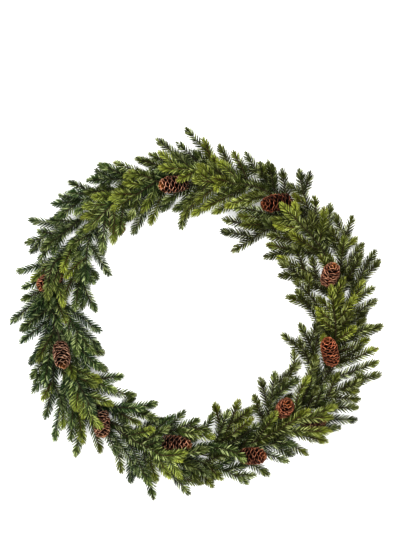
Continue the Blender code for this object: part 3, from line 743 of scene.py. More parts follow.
def spruceNeedles():
    look = needleLook
    material, add, shader = newMaterial("waxySpruceNeedles")
    fresh, tint, along, blue, shade, upwards = (
        add("ShaderNodeAttribute", output="Fac", attribute_name=name)
        for name in ("fresh", "tint", "along", "blue", "shade", "upwards"))
    place = add("ShaderNodeTexCoord", output="Object")
    toPale = add("ShaderNodeMapRange", [tint, look["paleFrom"], 1.0, 0.0, look["paleShare"]])
    toRootShade = add("ShaderNodeMapRange", [along, 0.0, look["rootShare"][1], look["rootShare"][0], 0.0])
    # each step mixes two colours: the result, the share of the second, the first and the second
    colours = {name: linear(value) for name, value in look["colours"].items()}
    for result, share, first, second in (
            ("old", blue, "old", "oldBlue"), ("new", blue, "new", "newCool"),
            # pale is partly a painted highlight; root is painted shade
            ("new", along, "new", "newTip"), ("old", toPale, "old", "pale"),
            ("mixed", fresh, "old", "new"), ("mixed", toRootShade, "mixed", "root")):
        colours[result] = add("ShaderNodeMix", {0: share, 6: colours[first], 7: colours[second]},
                              output=2, data_type="RGBA")
    low, high, paintedDownShade = look["under"]
    bloom = add("ShaderNodeTexNoise", {
        "Vector": place, "Scale": look["bloom"], "Detail": look["bloomDetail"]})
    # brightness: each needle's random tint, the twig's random tone with painted shade on lower twigs, painted
    # shade on needles that point down, and patches of wax
    value = shade
    for amount in (
            add("ShaderNodeMapRange", [tint, 0.0, 1.0, *look["tints"]]),
            add("ShaderNodeMapRange", [upwards, low, high, paintedDownShade, 1.0]),
            add("ShaderNodeMapRange", [bloom, *noiseSpan, *look["bloomValues"]])):
        value = add("ShaderNodeMath", [value, amount], operation="MULTIPLY")
    colour = add("ShaderNodeHueSaturation", {"Value": value, "Color": colours["mixed"]})
    setSockets(shader, {"Base Color": colour, "Roughness": look["roughness"], "IOR": look["ior"],
                        "Specular IOR Level": look["specular"]})
    return material


# Twig bark: young shoots are orange-brown, ridged by the little pegs that the needles stand on
barkLook = {
    "attribute": "fresh",
    "colours": ("#3a3220", "#6e4a24"),  # old wood, this year's shoots
    "scales": 900.0,                    # pegs in a metre, about 1.1 mm each
    "bump": 0.0004,
    "roughness": 0.8,
}

# Resting buds: overlapping red-brown scales, a little resinous, with painted shade darkening the seams
# between them
budLook = {
    "attribute": "along",
    "colours": ("#3c1c10", "#6e3c1e"),  # foot, point
    "scales": 900.0,                    # scales in a metre, about 1.1 mm each
    "bump": 0.0003,
    "roughness": 0.5,
}

# What both have in common: painted shade that darkens a peg or scale towards its edge and lightens its
# middle, and how strongly it stands out
scaleEdges = {"span": (0.0, 0.6), "values": (1.2, 0.6), "strength": 0.6}


def scalySkin(name, look):
    material, add, shader = newMaterial(name)
    share = add("ShaderNodeAttribute", output="Fac", attribute_name=look["attribute"])
    place = add("ShaderNodeTexCoord", output="Object")
    scales = add("ShaderNodeTexVoronoi", {"Vector": place, "Scale": look["scales"]}, output="Distance")
    first, second = (linear(colour) for colour in look["colours"])
    colour = add("ShaderNodeMix", {0: share, 6: first, 7: second}, output=2, data_type="RGBA")
    # painted shade: darker towards the edge of each peg or scale, lighter in its middle
    shade = add("ShaderNodeMapRange", [scales, *scaleEdges["span"], *scaleEdges["values"]])
    colour = add("ShaderNodeHueSaturation", {"Value": shade, "Color": colour})
    bump = add("ShaderNodeBump", invert=True, sockets={
        "Strength": scaleEdges["strength"], "Distance": look["bump"], "Height": scales})
    setSockets(shader, {"Base Color": colour, "Roughness": look["roughness"], "Normal": bump})
    return material


# Cone scales: thin dry wood, red-brown, paler and more orange at the worn rims, fibres running outwards; near
# black at the roots, painted shade in the gaps between scales
coneLook = {
    # from the near-black root, painted shade in the gaps between scales, to the worn rim: how far along the
    # scale, and its colour
    "stops": [(0.42, "#040100"), (0.79, "#220903"), (0.935, "#683b28"), (1.0, "#ad8d77")],
    "crown": "#96662c",        # scales round the free end
    "red": "#f6cfbc",          # multiplies a redder cone's colour
    "values": (0.5, 1.6),      # brightness of the darkest and the lightest scale
    "spots": 260.0,            # in a metre, about 4 mm each, which make the worn rims ragged
    "spotDetail": 3.0,
    "ragged": (-0.12, 0.12),
    "fibres": 34.0,            # radians over half a scale, so 1.2 mm apart, coarser than real to show
    "fibreValues": (0.93, 1.07),
    "fibreBump": (0.35, 0.0003),
    "roughness": 0.62,
    "specular": 0.2,
}


def coneWood():
    look = coneLook
    material, add, shader = newMaterial("dryConeScales")
    edge, across, value, crown, red = (
        add("ShaderNodeAttribute", output="Fac", attribute_name=name)
        for name in ("edge", "across", "value", "crown", "red"))
    place = add("ShaderNodeTexCoord", output="Object")
    spots = add("ShaderNodeTexNoise", {"Vector": place, "Scale": look["spots"], "Detail": look["spotDetail"]})
    ragged = add("ShaderNodeMapRange", [spots, *noiseSpan, *look["ragged"]])
    ramp = add("ShaderNodeValToRGB", [add("ShaderNodeMath", [edge, ragged], operation="ADD")])
    stops = ramp.node.color_ramp.elements
    stops.remove(stops[1])
    for position, colour in look["stops"]:
        stops.new(position).color = linear(colour)
    stops.remove(stops[0])
    colour = add("ShaderNodeMix", {0: crown, 6: ramp, 7: linear(look["crown"])}, output=2, data_type="RGBA")
    colour = add("ShaderNodeMix", {0: red, 6: colour, 7: linear(look["red"])}, output=2,
                 data_type="RGBA", blend_type="MULTIPLY")
    turns = add("ShaderNodeMath", [across, look["fibres"]], operation="MULTIPLY")
    fibre = add("ShaderNodeMath", [turns], operation="SINE")
    fibreValue = add("ShaderNodeMapRange", [fibre, -1.0, 1.0, *look["fibreValues"]])
    value = add("ShaderNodeMath", [value, fibreValue], operation="MULTIPLY")
    colour = add("ShaderNodeHueSaturation", {"Value": value, "Color": colour})
    strength, depth = look["fibreBump"]
    bump = add("ShaderNodeBump", {"Strength": strength, "Distance": depth, "Height": fibre})
    setSockets(shader, {"Base Color": colour, "Roughness": look["roughness"], "Normal": bump,
                        "Specular IOR Level": look["specular"]})
    return material


# Ring: annealed steel wire, dark with a dull sheen and patches of rust about 11 mm across
wireLook = {
    "colour": "#3a3b38",
    "rust": "#4a3626",
    "patches": 90.0,                      # in a metre
    "patchDetail": 4.0,
    "rustShare": (0.55, 0.75, 0.0, 0.7),  # noise from and to, share of rust from and to
    "roughness": (0.3, 0.8, 0.4, 0.65),   # noise from and to, roughness from and to
    "metallic": 0.9,
}


def ringWire():
    look = wireLook
    material, add, shader = newMaterial("annealedSteelWire")
    place = add("ShaderNodeTexCoord", output="Object")
    patches = add("ShaderNodeTexNoise", {
        "Vector": place, "Scale": look["patches"], "Detail": look["patchDetail"]})
    share = add("ShaderNodeMapRange", [patches, *look["rustShare"]])
    colour = add("ShaderNodeMix", {0: share, 6: linear(look["colour"]), 7: linear(look["rust"])},
                 output=2, data_type="RGBA")
    roughness = add("ShaderNodeMapRange", [patches, *look["roughness"]])
    setSockets(shader, {"Base Color": colour, "Metallic": look["metallic"], "Roughness": roughness})
    return material


# Binding: thin steel wire with green enamel, uneven in patches about 2.5 mm long
bindingLook = {
    "colour": "#1f4a2a",
    "patches": 400.0,      # in a metre
    "values": (0.8, 1.2),
    "roughness": 0.32,
    "coat": 0.3,
}


def bindingEnamel():
    look = bindingLook
    material, add, shader = newMaterial("greenEnamelledWire")
    place = add("ShaderNodeTexCoord", output="Object")
    wear = add("ShaderNodeTexNoise", {"Vector": place, "Scale": look["patches"]})
    value = add("ShaderNodeMapRange", [wear, *noiseSpan, *look["values"]])
    colour = add("ShaderNodeHueSaturation", {"Value": value, "Color": linear(look["colour"])})
    setSockets(shader, {"Base Color": colour, "Roughness": look["roughness"], "Coat Weight": look["coat"]})
    return material


needleMaterial = spruceNeedles()
barkMaterial = scalySkin("peggedSpruceBark", barkLook)
budMaterial = scalySkin("resinousBudScales", budLook)
coneMaterial, ringMaterial, bindingMaterial = coneWood(), ringWire(), bindingEnamel()
print("materials made")


# Spruce sprays

needles = {
    "length": 16.0,
    "thickness": 0.98,      # half of it, at the thickest place
    "flatness": 0.7,
    "bend": 0.14,           # how far the tip curves forwards, as a share of the length
    "rings": [(0.0, 0.7), (0.4, 1.0), (0.86, 0.66)],  # height and thickness, as shares
    "turn": 135.4,          # degrees from one needle to the next
    "spacing": 0.83,        # along the twig, from one needle to the next
    "endLength": 18.0,      # a denser tuft round the end of each twig
    "endSpacing": 0.6,
    "smallest": 0.15,       # share of the length below which no needle grows
    "lowest": 0.6,          # height above the surface that a needle's tip keeps
    # by mm from the twig's end: the lean in degrees, its spread to either side, and the share of the length
    "leans": [(0.0, 26.0), (4.0, 35.0), (10.0, 46.0), (24.0, 53.0), (60.0, 56.0)],
    "spreads": [(0.0, 20.0), (5.0, 10.0), (12.0, 5.0), (20.0, 4.0)],
    "sizes": [(0.0, 0.6), (6.0, 0.76), (14.0, 0.94), (24.0, 1.04)],
    # from needle to needle: turn in radians, share of the spread, size and tint; their order sets their seeds
    "strays": {"turnStray": (-0.18, 0.18), "spreadStray": (-1.0, 1.0), "sizeStray": (0.88, 1.05),
               "tintStray": (0.0, 1.0)},
    "seed": 5,
}

buds = {
    "length": 4.8,
    "width": 0.34,          # half of it, as a share of the length
    "rings": [(0.0, 0.75), (0.35, 1.0), (0.75, 0.6)],
    "share": 0.15,          # of the twigs that end in one
}

# What differs from twig to twig, as ranges that its values are drawn from
twigLook = {
    "wood": {"main": (1.5, 0.8), "side": (1.0, 0.4)},  # radius at the foot, and how much it thins
    "bare": {"main": stems["length"] + 10.0, "side": 3.0},  # without needles, from the foot
    "freshTwigs": {-1: 0.16, 0: 0.8, 1: 0.16},  # share of this year's twigs by lane
    "vigour": ((0.65, 1.0), (0.0, 0.3)),        # of this year's twigs and of older ones
    "freshness": [(0.0, 1.0), (16.0, 0.8), (46.0, 0.35), (80.0, 0.1)],  # by mm from the twig's end
    "blue": 0.45,           # how blue the needles are on average, from 0 to 1
    "yellowSide": 15,       # degrees round the wreath where they are least blue
    "blueSpread": (-0.25, 0.25),
    # shade: brightness that differs at random from twig to twig; heightShade: painted shade, heights in mm
    # and the brightness there, so lower twigs are darker
    "shade": (0.7, 1.3),
    "heightShade": ([14.0, 70.0], [0.8, 1.15]),
    "comb": (0.0, 0.16),    # how far needles are swept to the twig's sides, in radians
}


def needlePoint(height, width, angle):
    # on a twig it leans from +Z towards -Y, so its bend towards +Y turns the tip forwards
    radius = needles["thickness"] / needles["length"] * width
    return (radius * needles["flatness"] * math.cos(angle),
            radius * math.sin(angle) + needles["bend"] * height ** 2, height)


def budPoint(height, width, angle):
    return buds["width"] * width * math.cos(angle), buds["width"] * width * math.sin(angle), height


def sprayTree():
    tree, add, given = newTree("spruceSpray", {
        "Needle": "Object", "Bud": "Object", "Needle spacing": "Float", "Needle length": "Float",
        "End length": "Float", "End spacing": "Float", "Bud length": "Float",
        "Lowest tip": "Float", "Seed": "Int", "Bark": "Material", "Needles": "Material", "Buds": "Material"})
    lines = add("GeometryNodeMeshToCurve", [given["Geometry"]])
    tangent = add("GeometryNodeInputTangent")
    upright = (0.0, 0.0, 1.0)

    # the values that the lines carry, and what strays from needle to needle
    values = {socket.name: socket for socket in given}
    values["index"] = add("GeometryNodeInputIndex")
    values["total"] = add("GeometryNodeSplineLength")
    for name in ("radius", "size", "lean", "spread", "comb", "bud"):
        values[name] = add("GeometryNodeInputNamedAttribute", {"Name": name}, data_type="FLOAT")
    for offset, (name, (low, high)) in enumerate(needles["strays"].items(), 1):
        seed = add("ShaderNodeMath", [given["Seed"], offset], operation="ADD")
        values[name] = add("FunctionNodeRandomValue", {2: low, 3: high, 8: seed}, output=1, data_type="FLOAT")
    for name, operation, *terms in (
            ("tuftStart", "SUBTRACT", "total", "End length"),
            ("wound", "MULTIPLY", "index", math.radians(needles["turn"])),
            ("turned", "ADD", "wound", "turnStray"),
            # combed to the sides: fewer needles straight up and down
            ("doubled", "MULTIPLY", "turned", 2.0),
            ("wave", "SINE", "doubled"),
            ("combed", "MULTIPLY", "wave", "comb"),
            ("turn", "ADD", "turned", "combed"),
            ("leanStray", "MULTIPLY", "spreadStray", "spread"),
            ("leanDegrees", "ADD", "lean", "leanStray"),
            ("leanAngle", "RADIANS", "leanDegrees"),
            ("sizeShare", "MULTIPLY", "size", "sizeStray"),
            ("length", "MULTIPLY", "sizeShare", "Needle length")):
        values[name] = add("ShaderNodeMath", [values.get(term, term) for term in terms], operation=operation)

    # the twigs' bark
    thick = add("GeometryNodeSetCurveRadius", {"Curve": lines, "Radius": values["radius"]})
    section = add("GeometryNodeCurvePrimitiveCircle", {"Resolution": 7, "Radius": 1.0})
    bark = add("GeometryNodeCurveToMesh", {
        "Curve": thick, "Profile Curve": section, "Scale": values["radius"], "Fill Caps": True})
    bark = add("GeometryNodeSetMaterial", {"Geometry": bark, "Material": given["Bark"]})

    # one needle at every point of the resampled lines, and more of them along each twig's end
    tufts = add("GeometryNodeTrimCurve", {
        0: lines, 4: values["tuftStart"], 5: values["total"]}, mode="LENGTH")
    rows = [add("GeometryNodeResampleCurve", {"Curve": curve, "Length": given[spacing]}, mode="LENGTH")
            for curve, spacing in ((lines, "Needle spacing"), (tufts, "End spacing"))]
    points = add("GeometryNodeJoinGeometry", {"Geometry": rows})

    # its foot faces along the twig, then it is turned round the twig and leans over
    facing = add("FunctionNodeAlignRotationToVector", {"Vector": tangent}, axis="Z")
    facing = add("FunctionNodeAlignRotationToVector", {"Rotation": facing, "Vector": upright},
                 axis="Y", pivot_axis="Z")
    for axis, angle in ((upright, values["turn"]), ((1.0, 0.0, 0.0), values["leanAngle"])):
        swing = add("FunctionNodeAxisAngleToRotation", {"Axis": axis, "Angle": angle})
        facing = add("FunctionNodeRotateRotation", {"Rotation": facing, "Rotate By": swing},
                     rotation_space="LOCAL")

    # a needle that would reach into the surface below is left out
    pointing = add("FunctionNodeRotateVector", {"Vector": upright, "Rotation": facing})
    upwards = add("ShaderNodeSeparateXYZ", [pointing], output="Z")
    drop = add("ShaderNodeMath", [upwards, values["length"]], operation="MULTIPLY")
    height = add("ShaderNodeSeparateXYZ", [add("GeometryNodeInputPosition")], output="Z")
    tipHeight = add("ShaderNodeMath", [height, drop], operation="ADD")
    above, grown, budded = (
        add("FunctionNodeCompare", [amount, least], data_type="FLOAT", operation="GREATER_THAN")
        for amount, least in ((tipHeight, given["Lowest tip"]), (values["size"], needles["smallest"]),
                              (values["bud"], 0.5)))
    chosen = add("FunctionNodeBooleanMath", [above, grown], operation="AND")
    # which way each needle points, which drives the painted shade on needles that point down
    points = add("GeometryNodeStoreNamedAttribute", {"Geometry": points, "Name": "upwards", "Value": upwards},
                 data_type="FLOAT", domain="POINT")
    needle = add("GeometryNodeObjectInfo", {"Object": given["Needle"]}, output="Geometry")
    grownNeedles = add("GeometryNodeInstanceOnPoints", {
        "Points": points, "Selection": chosen, "Instance": needle, "Rotation": facing,
        "Scale": values["length"]})
    grownNeedles = add("GeometryNodeStoreNamedAttribute", {
        "Geometry": grownNeedles, "Name": "tint", "Value": values["tintStray"]},
        data_type="FLOAT", domain="INSTANCE")

    # a bud at the end of some twigs
    atEnd = add("GeometryNodeCurveEndpointSelection", {"Start Size": 0, "End Size": 1})
    here = add("FunctionNodeBooleanMath", [atEnd, budded], operation="AND")
    bud = add("GeometryNodeObjectInfo", {"Object": given["Bud"]}, output="Geometry")
    ahead = add("FunctionNodeAlignRotationToVector", {"Vector": tangent}, axis="Z")
    grownBuds = add("GeometryNodeInstanceOnPoints", {
        "Points": lines, "Selection": here, "Instance": bud, "Rotation": ahead,
        "Scale": given["Bud length"]})

    parts = [bark]
    for grownPart, material in ((grownNeedles, given["Needles"]), (grownBuds, given["Buds"])):
        grownPart = add("GeometryNodeRealizeInstances", {"Geometry": grownPart})
        parts.append(add("GeometryNodeSetMaterial", {"Geometry": grownPart, "Material": material}))
    joined = add("GeometryNodeJoinGeometry", {"Geometry": parts})
    add("NodeGroupOutput", {"Geometry": add("GeometryNodeSetShadeSmooth", {"Geometry": joined})})
    return tree


def twigValues(twig, random):
    # what a twig's points carry: bark radius, needle size, place along the twig, freshness and so on
    look = twigLook
    lengths = lineLengths(twig.points)
    total = lengths[-1]
    fromEnd = total - lengths
    kind = "main" if twig.parent is None else "side"
    thick, thins = look["wood"][kind]
    young, old = look["vigour"]
    thisYear = random.random() < look["freshTwigs"][sprays[twig.spray][1]]
    vigour = random.uniform(*(young if thisYear else old))
    degrees = math.degrees(math.atan2(twig.points[-1][1], twig.points[-1][0])) % 360
    swing = math.cos(math.radians(degrees - look["yellowSide"]))
    blue = look["blue"] - look["blue"] * swing + random.uniform(*look["blueSpread"])
    count = len(lengths)
    return {
        "radius": (thick - thins * lengths / total) * mm,
        "size": np.where(lengths < look["bare"][kind], 0.0, np.interp(fromEnd, *zip(*needles["sizes"]))),
        "lean": np.interp(fromEnd, *zip(*needles["leans"])),
        "spread": np.interp(fromEnd, *zip(*needles["spreads"])),
        "fresh": vigour * np.interp(fromEnd, *zip(*look["freshness"])),
        "blue": np.full(count, np.clip(blue, 0, 1)),
        # random brightness from twig to twig, times painted shade that darkens the lower twigs
        "shade": random.uniform(*look["shade"]) * np.interp(twig.points[:, 2], *look["heightShade"]),
        "comb": np.full(count, random.uniform(*look["comb"])),
        "bud": np.full(count, float(random.random() < buds["share"])),
    }


def makeSprays():
    tree = sprayTree()
    needle = taperedShape("needleShape", 4, needles["rings"], needlePoint)
    bud = taperedShape("budShape", 6, buds["rings"], budPoint)
    random = np.random.default_rng(needles["seed"])
    for number, (bunch, lane, _) in enumerate(sprays):
        own = [twig for twig in twigs if twig.spray == number]
        values = [twigValues(twig, random) for twig in own]
        gathered = {key: np.concatenate([v[key] for v in values]) for key in values[0]}
        laneName = stems["laneNames"][lane]
        name = f"spruceSpray{laneName.capitalize()}{bunch:02d}"
        piece = grow(name, lineMesh(name + "Lines", [twig.points for twig in own], gathered), tree, {
            "Needle": needle, "Needle length": needles["length"] * mm,
            "Needle spacing": needles["spacing"] * mm, "End length": needles["endLength"] * mm,
            "End spacing": needles["endSpacing"] * mm,
            "Lowest tip": needles["lowest"] * mm, "Bud": bud, "Bud length": buds["length"] * mm,
            "Seed": number * 10, "Bark": barkMaterial, "Needles": needleMaterial, "Buds": budMaterial})
        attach(piece, "root")
        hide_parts(f"spray_{laneName}_{bunch:02d}")
    bpy.data.objects.remove(needle)
    bpy.data.objects.remove(bud)


makeSprays()
print("sprays grown:", len(sprays))


# Cones

coneMaker = {
    "width": 34.0,             # over the scales' tips
    "core": 5.0,               # radius of the spindle
    "stalk": 1.3,              # radius
    "goldenAngle": 137.508,
    "seed": 3,
    # by share from the stalk's end to the free end: radius, height of the scales' tips, breadth, spindle
    "curves": {
        "outline": [(0.0, 0.6), (0.1, 0.86), (0.3, 1.0), (0.62, 1.0), (0.8, 0.82), (0.92, 0.5), (1.0, 0.12)],
        "tips": [(0.0, 0.08), (0.5, 0.56), (0.78, 0.82), (0.92, 0.94), (1.0, 0.98)],
        "breadths": [(0.0, 0.7), (0.3, 0.95), (0.7, 0.95), (1.0, 0.45)],
        "spindle": [(0.0, 1.0), (0.6, 0.8), (1.0, 0.15)],
    },
    "roots": (0.74, 0.05),     # of the cone's length: over which the scales' feet spread, and the first one
    "scaleBreadth": 0.37,      # of the cone's width
    "scaleDepth": 0.36,
    "shading": (0.5, 0.72),    # painted shade, darker towards the stalk end: brightness gained towards the free end, and brightness at the stalk
    "crown": (0.86, 1.0, 0.0, 0.35),  # share along the cone from and to, share of the crown's colour
    "spindleWidth": 1.15,      # of the core
    "spindleLength": 0.46,     # half of it, of the cone's length
    # from scale to scale: turn, size, roll, brightness and rise; their order sets their seeds
    "strays": {"turnStray": (-0.1, 0.1), "sizeStray": (0.93, 1.03), "roll": (-0.12, 0.12),
               "tone": coneLook["values"], "riseStray": (-0.07, 0.07)},
    # how bright and how red each cone is, and how many scales it shows
    "tones": [(0.64, 0.4, 90), (0.42, 1.0, 86), (0.7, 0.2, 74), (0.6, 0.2, 104), (0.62, 0.6, 104),
              (0.54, 0.0, 84), (0.66, 0.0, 104), (0.58, 0.3, 90), (0.54, 0.7, 96), (0.4, 0.2, 104),
              (0.58, 0.9, 92), (0.77, 1.0, 100)],
}


def scalePoint(t, s):
    # a thin cupped scale: t runs out from its root, s across it from -1 to 1
    half = 0.16 + 0.36 * math.sin(min(1.0, t * 1.15) * math.pi / 2)
    rim = t * (1 - 0.20 * abs(s) ** 2.2 * t)
    wave = 0.02 * math.cos(s * 7.0) * t ** 3
    return rim, s * half, 0.2 * t ** 2 * (1 - t) - 0.10 * (s * t) ** 2 + wave


def scaleShape():
    # one unit long along X and about one wide, five points each way, thicker at the rim
    side = 5
    steps = [i / (side - 1) for i in range(side)]
    edge = [t for t in steps for _ in steps]
    across = [s * 2 - 1 for _ in steps for s in steps]
    upper = [scalePoint(t, s) for t, s in zip(edge, across)]
    lower = [(x, y, z - 0.07 - 0.03 * t) for (x, y, z), t in zip(upper, edge)]
    count = side * side
    faces = []
    for a in (row * side + column for row in range(side - 1) for column in range(side - 1)):
        b, c, d = a + 1, a + side + 1, a + side
        faces.append((a, d, c, b))
        faces.append((a + count, b + count, c + count, d + count))
    border = list(range(side))
    border += range(2 * side - 1, count, side)
    border += range(count - 2, count - side - 1, -1)
    border += range(count - 2 * side, 0, -side)
    for a, b in zip(border, border[1:] + border[:1]):
        faces.append((a, b, b + count, a + count))
    attributes = {"edge": edge + edge, "across": across + across}
    return bpy.data.objects.new("scaleShape", newMesh("scaleShape", upper + lower, [], faces, attributes))


def coneTree():
    tree, add, given = newTree("openCone", {
        "Scale": "Object", "Scales": "Int", "Length": "Float", "Width": "Float", "Core": "Float",
        "Fixed end": "Vector", "Axis": "Vector", "Brightness": "Float", "Redness": "Float", "Seed": "Int",
        "Wood": "Material", "Bark": "Material"})
    values = {socket.name: socket for socket in given}
    index = add("GeometryNodeInputIndex")
    middle = add("ShaderNodeMath", [index, 0.5], operation="ADD")
    share = add("ShaderNodeMath", [middle, given["Scales"]], operation="DIVIDE")
    values.update(index=index, share=share)
    for name, stops in coneMaker["curves"].items():
        values[name] = add("ShaderNodeFloatCurve", {"Value": share})
        mapping = values[name].node.mapping
        line = mapping.curves[0]
        while len(line.points) < len(stops):
            line.points.new(0.5, 0.5)
        for point, stop in zip(line.points, stops):
            point.location = stop
        mapping.update()
    for offset, (name, (low, high)) in enumerate(coneMaker["strays"].items(), 1):
        seed = add("ShaderNodeMath", [given["Seed"], offset], operation="ADD")
        values[name] = add("FunctionNodeRandomValue", {2: low, 3: high, 8: seed}, output=1, data_type="FLOAT")

    # each scale runs from the spindle to the cone's outline, a golden angle on from the last
    rootSpan, firstRoot = coneMaker["roots"]
    brighter, darkest = coneMaker["shading"]
    for name, operation, *terms in (
            ("wound", "MULTIPLY", "index", math.radians(coneMaker["goldenAngle"])),
            ("turn", "ADD", "wound", "turnStray"),
            ("rootRadius", "MULTIPLY", "Core", "spindle"),
            ("rootShare", "MULTIPLY", "share", rootSpan),
            ("rootPlace", "ADD", "rootShare", firstRoot),
            ("rootHeight", "MULTIPLY", "Length", "rootPlace"),
            ("halfOutline", "MULTIPLY", "outline", 0.5),
            ("tipRadius", "MULTIPLY", "Width", "halfOutline"),
            ("tipHeight", "MULTIPLY", "Length", "tips"),
            ("out", "SUBTRACT", "tipRadius", "rootRadius"),
            ("climb", "SUBTRACT", "tipHeight", "rootHeight"),
            ("slope", "ARCTAN2", "climb", "out"),
            ("rise", "ADD", "slope", "riseStray"),
            ("pitch", "MULTIPLY", "rise", -1.0),
            ("outSquared", "MULTIPLY", "out", "out"),
            ("climbSquared", "MULTIPLY", "climb", "climb"),
            ("reachSquared", "ADD", "outSquared", "climbSquared"),
            ("reach", "SQRT", "reachSquared"),
            ("size", "MULTIPLY", "reach", "sizeStray"),
            ("cosine", "COSINE", "turn"),
            ("sine", "SINE", "turn"),
            ("rootX", "MULTIPLY", "rootRadius", "cosine"),
            ("rootY", "MULTIPLY", "rootRadius", "sine"),
            ("breadthShare", "MULTIPLY", "breadths", coneMaker["scaleBreadth"]),
            ("breadth", "MULTIPLY", "Width", "breadthShare"),
            ("depth", "MULTIPLY", "Width", coneMaker["scaleDepth"]),
            ("bright", "MULTIPLY", "Brightness", "tone"),
            # painted shade: scales darker towards the stalk end
            ("shading", "MULTIPLY", "share", brighter),
            ("shade", "ADD", "shading", darkest),
            ("value", "MULTIPLY", "bright", "shade"),
            ("spindleRadius", "MULTIPLY", "Core", coneMaker["spindleWidth"]),
            ("spindleHalf", "MULTIPLY", "Length", coneMaker["spindleLength"])):
        values[name] = add("ShaderNodeMath", [values.get(term, term) for term in terms], operation=operation)
    for name, x, y, z in (
            ("position", "rootX", "rootY", "rootHeight"), ("facing", "roll", "pitch", "turn"),
            ("sizes", "size", "breadth", "depth"), ("spindlePlace", 0.0, 0.0, "spindleHalf"),
            ("spindleSize", "spindleRadius", "spindleRadius", "spindleHalf")):
        values[name] = add("ShaderNodeCombineXYZ", [values.get(term, term) for term in (x, y, z)])
    values["crown"] = add("ShaderNodeMapRange", [share, *coneMaker["crown"]])

    points = add("GeometryNodePoints", {"Count": given["Scales"], "Position": values["position"]})
    scale = add("GeometryNodeObjectInfo", {"Object": given["Scale"]}, output="Geometry")
    scales = add("GeometryNodeInstanceOnPoints", {
        "Points": points, "Instance": scale, "Rotation": values["facing"], "Scale": values["sizes"]})
    # value carries each scale's random brightness with the painted shade along the cone
    for name, amount in (("value", "value"), ("red", "Redness"), ("crown", "crown")):
        scales = add("GeometryNodeStoreNamedAttribute", {
            "Geometry": scales, "Name": name, "Value": values[amount]}, data_type="FLOAT", domain="INSTANCE")
    scales = add("GeometryNodeRealizeInstances", {"Geometry": scales})

    # the spindle that the scales stand on
    ball = add("GeometryNodeMeshUVSphere", {"Segments": 12, "Rings": 8, "Radius": 1.0})
    spindle = add("GeometryNodeTransform", {
        "Geometry": ball, "Translation": values["spindlePlace"], "Scale": values["spindleSize"]})
    body = add("GeometryNodeJoinGeometry", {"Geometry": [scales, spindle]})
    upright = add("FunctionNodeAlignRotationToVector", {"Vector": given["Axis"]}, axis="Z")
    body = add("GeometryNodeTransform", {
        "Geometry": body, "Translation": given["Fixed end"], "Rotation": upright})
    body = add("GeometryNodeSetMaterial", {"Geometry": body, "Material": given["Wood"]})

    # the wired stalk
    line = add("GeometryNodeMeshToCurve", [given["Geometry"]])
    section = add("GeometryNodeCurvePrimitiveCircle", {"Resolution": 8, "Radius": coneMaker["stalk"] * mm})
    stalk = add("GeometryNodeCurveToMesh", {"Curve": line, "Profile Curve": section, "Fill Caps": True})
    stalk = add("GeometryNodeSetMaterial", {"Geometry": stalk, "Material": given["Bark"]})
    joined = add("GeometryNodeJoinGeometry", {"Geometry": [body, stalk]})
    add("NodeGroupOutput", {"Geometry": add("GeometryNodeSetShadeSmooth", {"Geometry": joined})})
    return tree


def makeCones():
    tree = coneTree()
    scale = scaleShape()
    for number, ((fixed, free), stalk) in enumerate(zip(ends, stalks)):
        name = f"pineCone{number + 1:02d}"
        brightness, redness, scaleCount = coneMaker["tones"][number]
        axis = unit(free - fixed)
        line = bezier(stalk[0], stalk[0] + up * stalkShape["climb"], fixed - axis * stalkShape["bend"],
                      fixed + axis * stalkShape["into"], 30)
        piece = grow(name, lineMesh(name + "Stalk", [resample(line, stalkShape["sample"])]), tree, {
            "Scale": scale, "Scales": scaleCount, "Length": float(np.linalg.norm(free - fixed)) * mm,
            "Width": coneMaker["width"] * mm, "Core": coneMaker["core"] * mm,
            "Fixed end": (fixed * mm).tolist(), "Axis": axis.tolist(),
            "Brightness": brightness, "Redness": redness,
            "Seed": coneMaker["seed"] + number * 10, "Wood": coneMaterial, "Bark": barkMaterial})
        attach(piece, "root")
        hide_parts(f"cone_{number + 1:02d}")
    bpy.data.objects.remove(scale)


makeCones()
print("cones made")


# Ring and binding wire

binding = {
    "wire": 0.68,       # radius
    "turns": 3,         # tight turns at each bunch
    "pitch": 1.9,       # from one turn to the next
    "clear": 0.05,      # under the turns, above the surface
    "underneath": 3.2,  # how far in and out the flat underside of a turn runs
    # round the stems from outside to inside: outwards and up from the ring's wire
    "over": [(6.4, -0.6), (6.6, 3.6), (4.2, 6.6), (0.0, 7.6), (-4.2, 6.6), (-6.6, 3.6), (-6.4, -0.6)],
    "sides": 8,
}


def wireTree():
    tree, add, given = newTree("roundWire", {"Radius": "Float", "Sides": "Int", "Metal": "Material"})
    line = add("GeometryNodeMeshToCurve", [given["Geometry"]])
    section = add("GeometryNodeCurvePrimitiveCircle", {
        "Resolution": given["Sides"], "Radius": given["Radius"]})
    wire = add("GeometryNodeCurveToMesh", {"Curve": line, "Profile Curve": section})
    wire = add("GeometryNodeSetShadeSmooth", {"Geometry": wire})
    wire = add("GeometryNodeSetMaterial", {"Geometry": wire, "Material": given["Metal"]})
    add("NodeGroupOutput", {"Geometry": wire})
    return tree


def bindingPath():
    # turns under the ring and over the stems at each bunch, then on along the inside of the ring
    under = binding["wire"] + binding["clear"] - ring["height"]
    loop = [(-binding["underneath"], under), (binding["underneath"], under)] + binding["over"]
    points = []
    for bunch in range(ring["bunches"]):
        middle, along, outwards = bunchFrame(bunch)
        for turn in range(binding["turns"]):
            for i, (out, rise) in enumerate(loop):
                ahead = (turn + i / len(loop) - binding["turns"] / 2) * binding["pitch"]
                points.append(middle + along * ahead + outwards * out + up * rise)
    points = np.array(points)
    # rounds off the corners
    for _ in range(2):
        after = np.roll(points, -1, axis=0)
        points = np.stack([0.75 * points + 0.25 * after, 0.25 * points + 0.75 * after], axis=1).reshape(-1, 3)
    return points


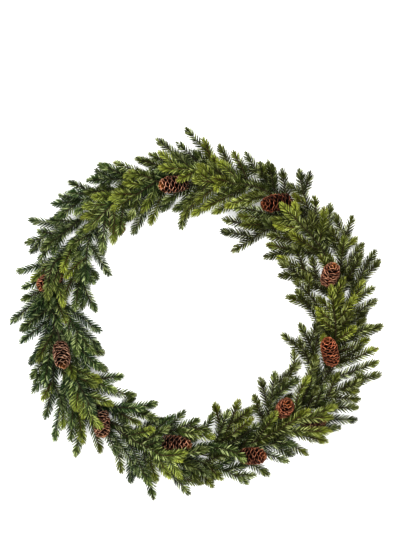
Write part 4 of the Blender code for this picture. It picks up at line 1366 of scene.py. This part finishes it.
def makeWires():
    tree = wireTree()
    angles = [i * 360 / ring["lengths"] for i in range(ring["lengths"])]
    circle = np.array([polar(angle, ring["radius"], ring["height"]) for angle in angles])
    for name, line, radius, sides, metal, node, slotName in (
            ("ringWire", circle, ring["wire"], ring["sides"], ringMaterial, "ring_frame", "ring_wire"),
            ("bindingWire", bindingPath(), binding["wire"], binding["sides"], bindingMaterial,
             "binding_wire", "binding_wire")):
        piece = grow(name, lineMesh(name + "Line", [line], closed=True), tree, {
            "Radius": radius * mm, "Sides": sides, "Metal": metal})
        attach(piece, "root")
        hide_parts(node)


makeWires()
print("ring and binding wire made")


# Floor, light and camera, in metres

stage = {
    "floor": "#fafaf9",
    "floorRoughness": 0.9,
    "floorSize": 14.0,
    "sky": "#ffffff",
    "world": 0.5,
    # soft boxes that face the middle of the floor: place, size, power in watts
    "softboxes": {
        "overheadSoftbox": ((-0.35, 0.45, 2.9), 2.2, 150.0),
        "sideSoftbox": ((2.2, -0.6, 2.0), 1.2, 12.0),
    },
    "lens": 85.0,
    "sensor": 36.0,
    "pixel": 0.002,           # metres a pixel at the foliage
    "aim": (0.007, 0.094, 0.05),
    "imageHeight": 533,
}


def makeStage():
    h = stage["floorSize"] / 2
    mesh = newMesh("paleFloor", [(-h, -h, 0), (h, -h, 0), (h, h, 0), (-h, h, 0)], [], [(0, 1, 2, 3)])
    floor = bpy.data.objects.new("paleFloor", mesh)
    scene.collection.objects.link(floor)
    material, _, shader = newMaterial("mattPaperFloor")
    setSockets(shader, {"Base Color": linear(stage["floor"]), "Roughness": stage["floorRoughness"]})
    mesh.materials.append(material)

    world = bpy.data.worlds.new("softWorld")
    world.use_nodes = True
    setSockets(world.node_tree.nodes["Background"], {
        "Color": linear(stage["sky"]), "Strength": stage["world"]})
    scene.world = world

    for name, (place, size, power) in stage["softboxes"].items():
        lamp = bpy.data.lights.new(name, "AREA")
        lamp.size = size
        lamp.energy = power
        holder = bpy.data.objects.new(name, lamp)
        holder.location = place
        holder.rotation_euler = (-Vector(place)).to_track_quat("-Z", "Y").to_euler()
        scene.collection.objects.link(holder)

    camera = bpy.data.cameras.new("overheadCamera")
    camera.lens = stage["lens"]
    camera.sensor_width = stage["sensor"]
    distance = stage["lens"] / stage["sensor"] * stage["pixel"] * stage["imageHeight"]
    holder = bpy.data.objects.new("overheadCamera", camera)
    holder.location = Vector(stage["aim"]) + Vector((0, 0, distance))
    scene.collection.objects.link(holder)
    scene.camera = holder
    scene.view_settings.view_transform = "Standard"
    scene.view_settings.look = "High Contrast"


makeStage()
print("stage set")
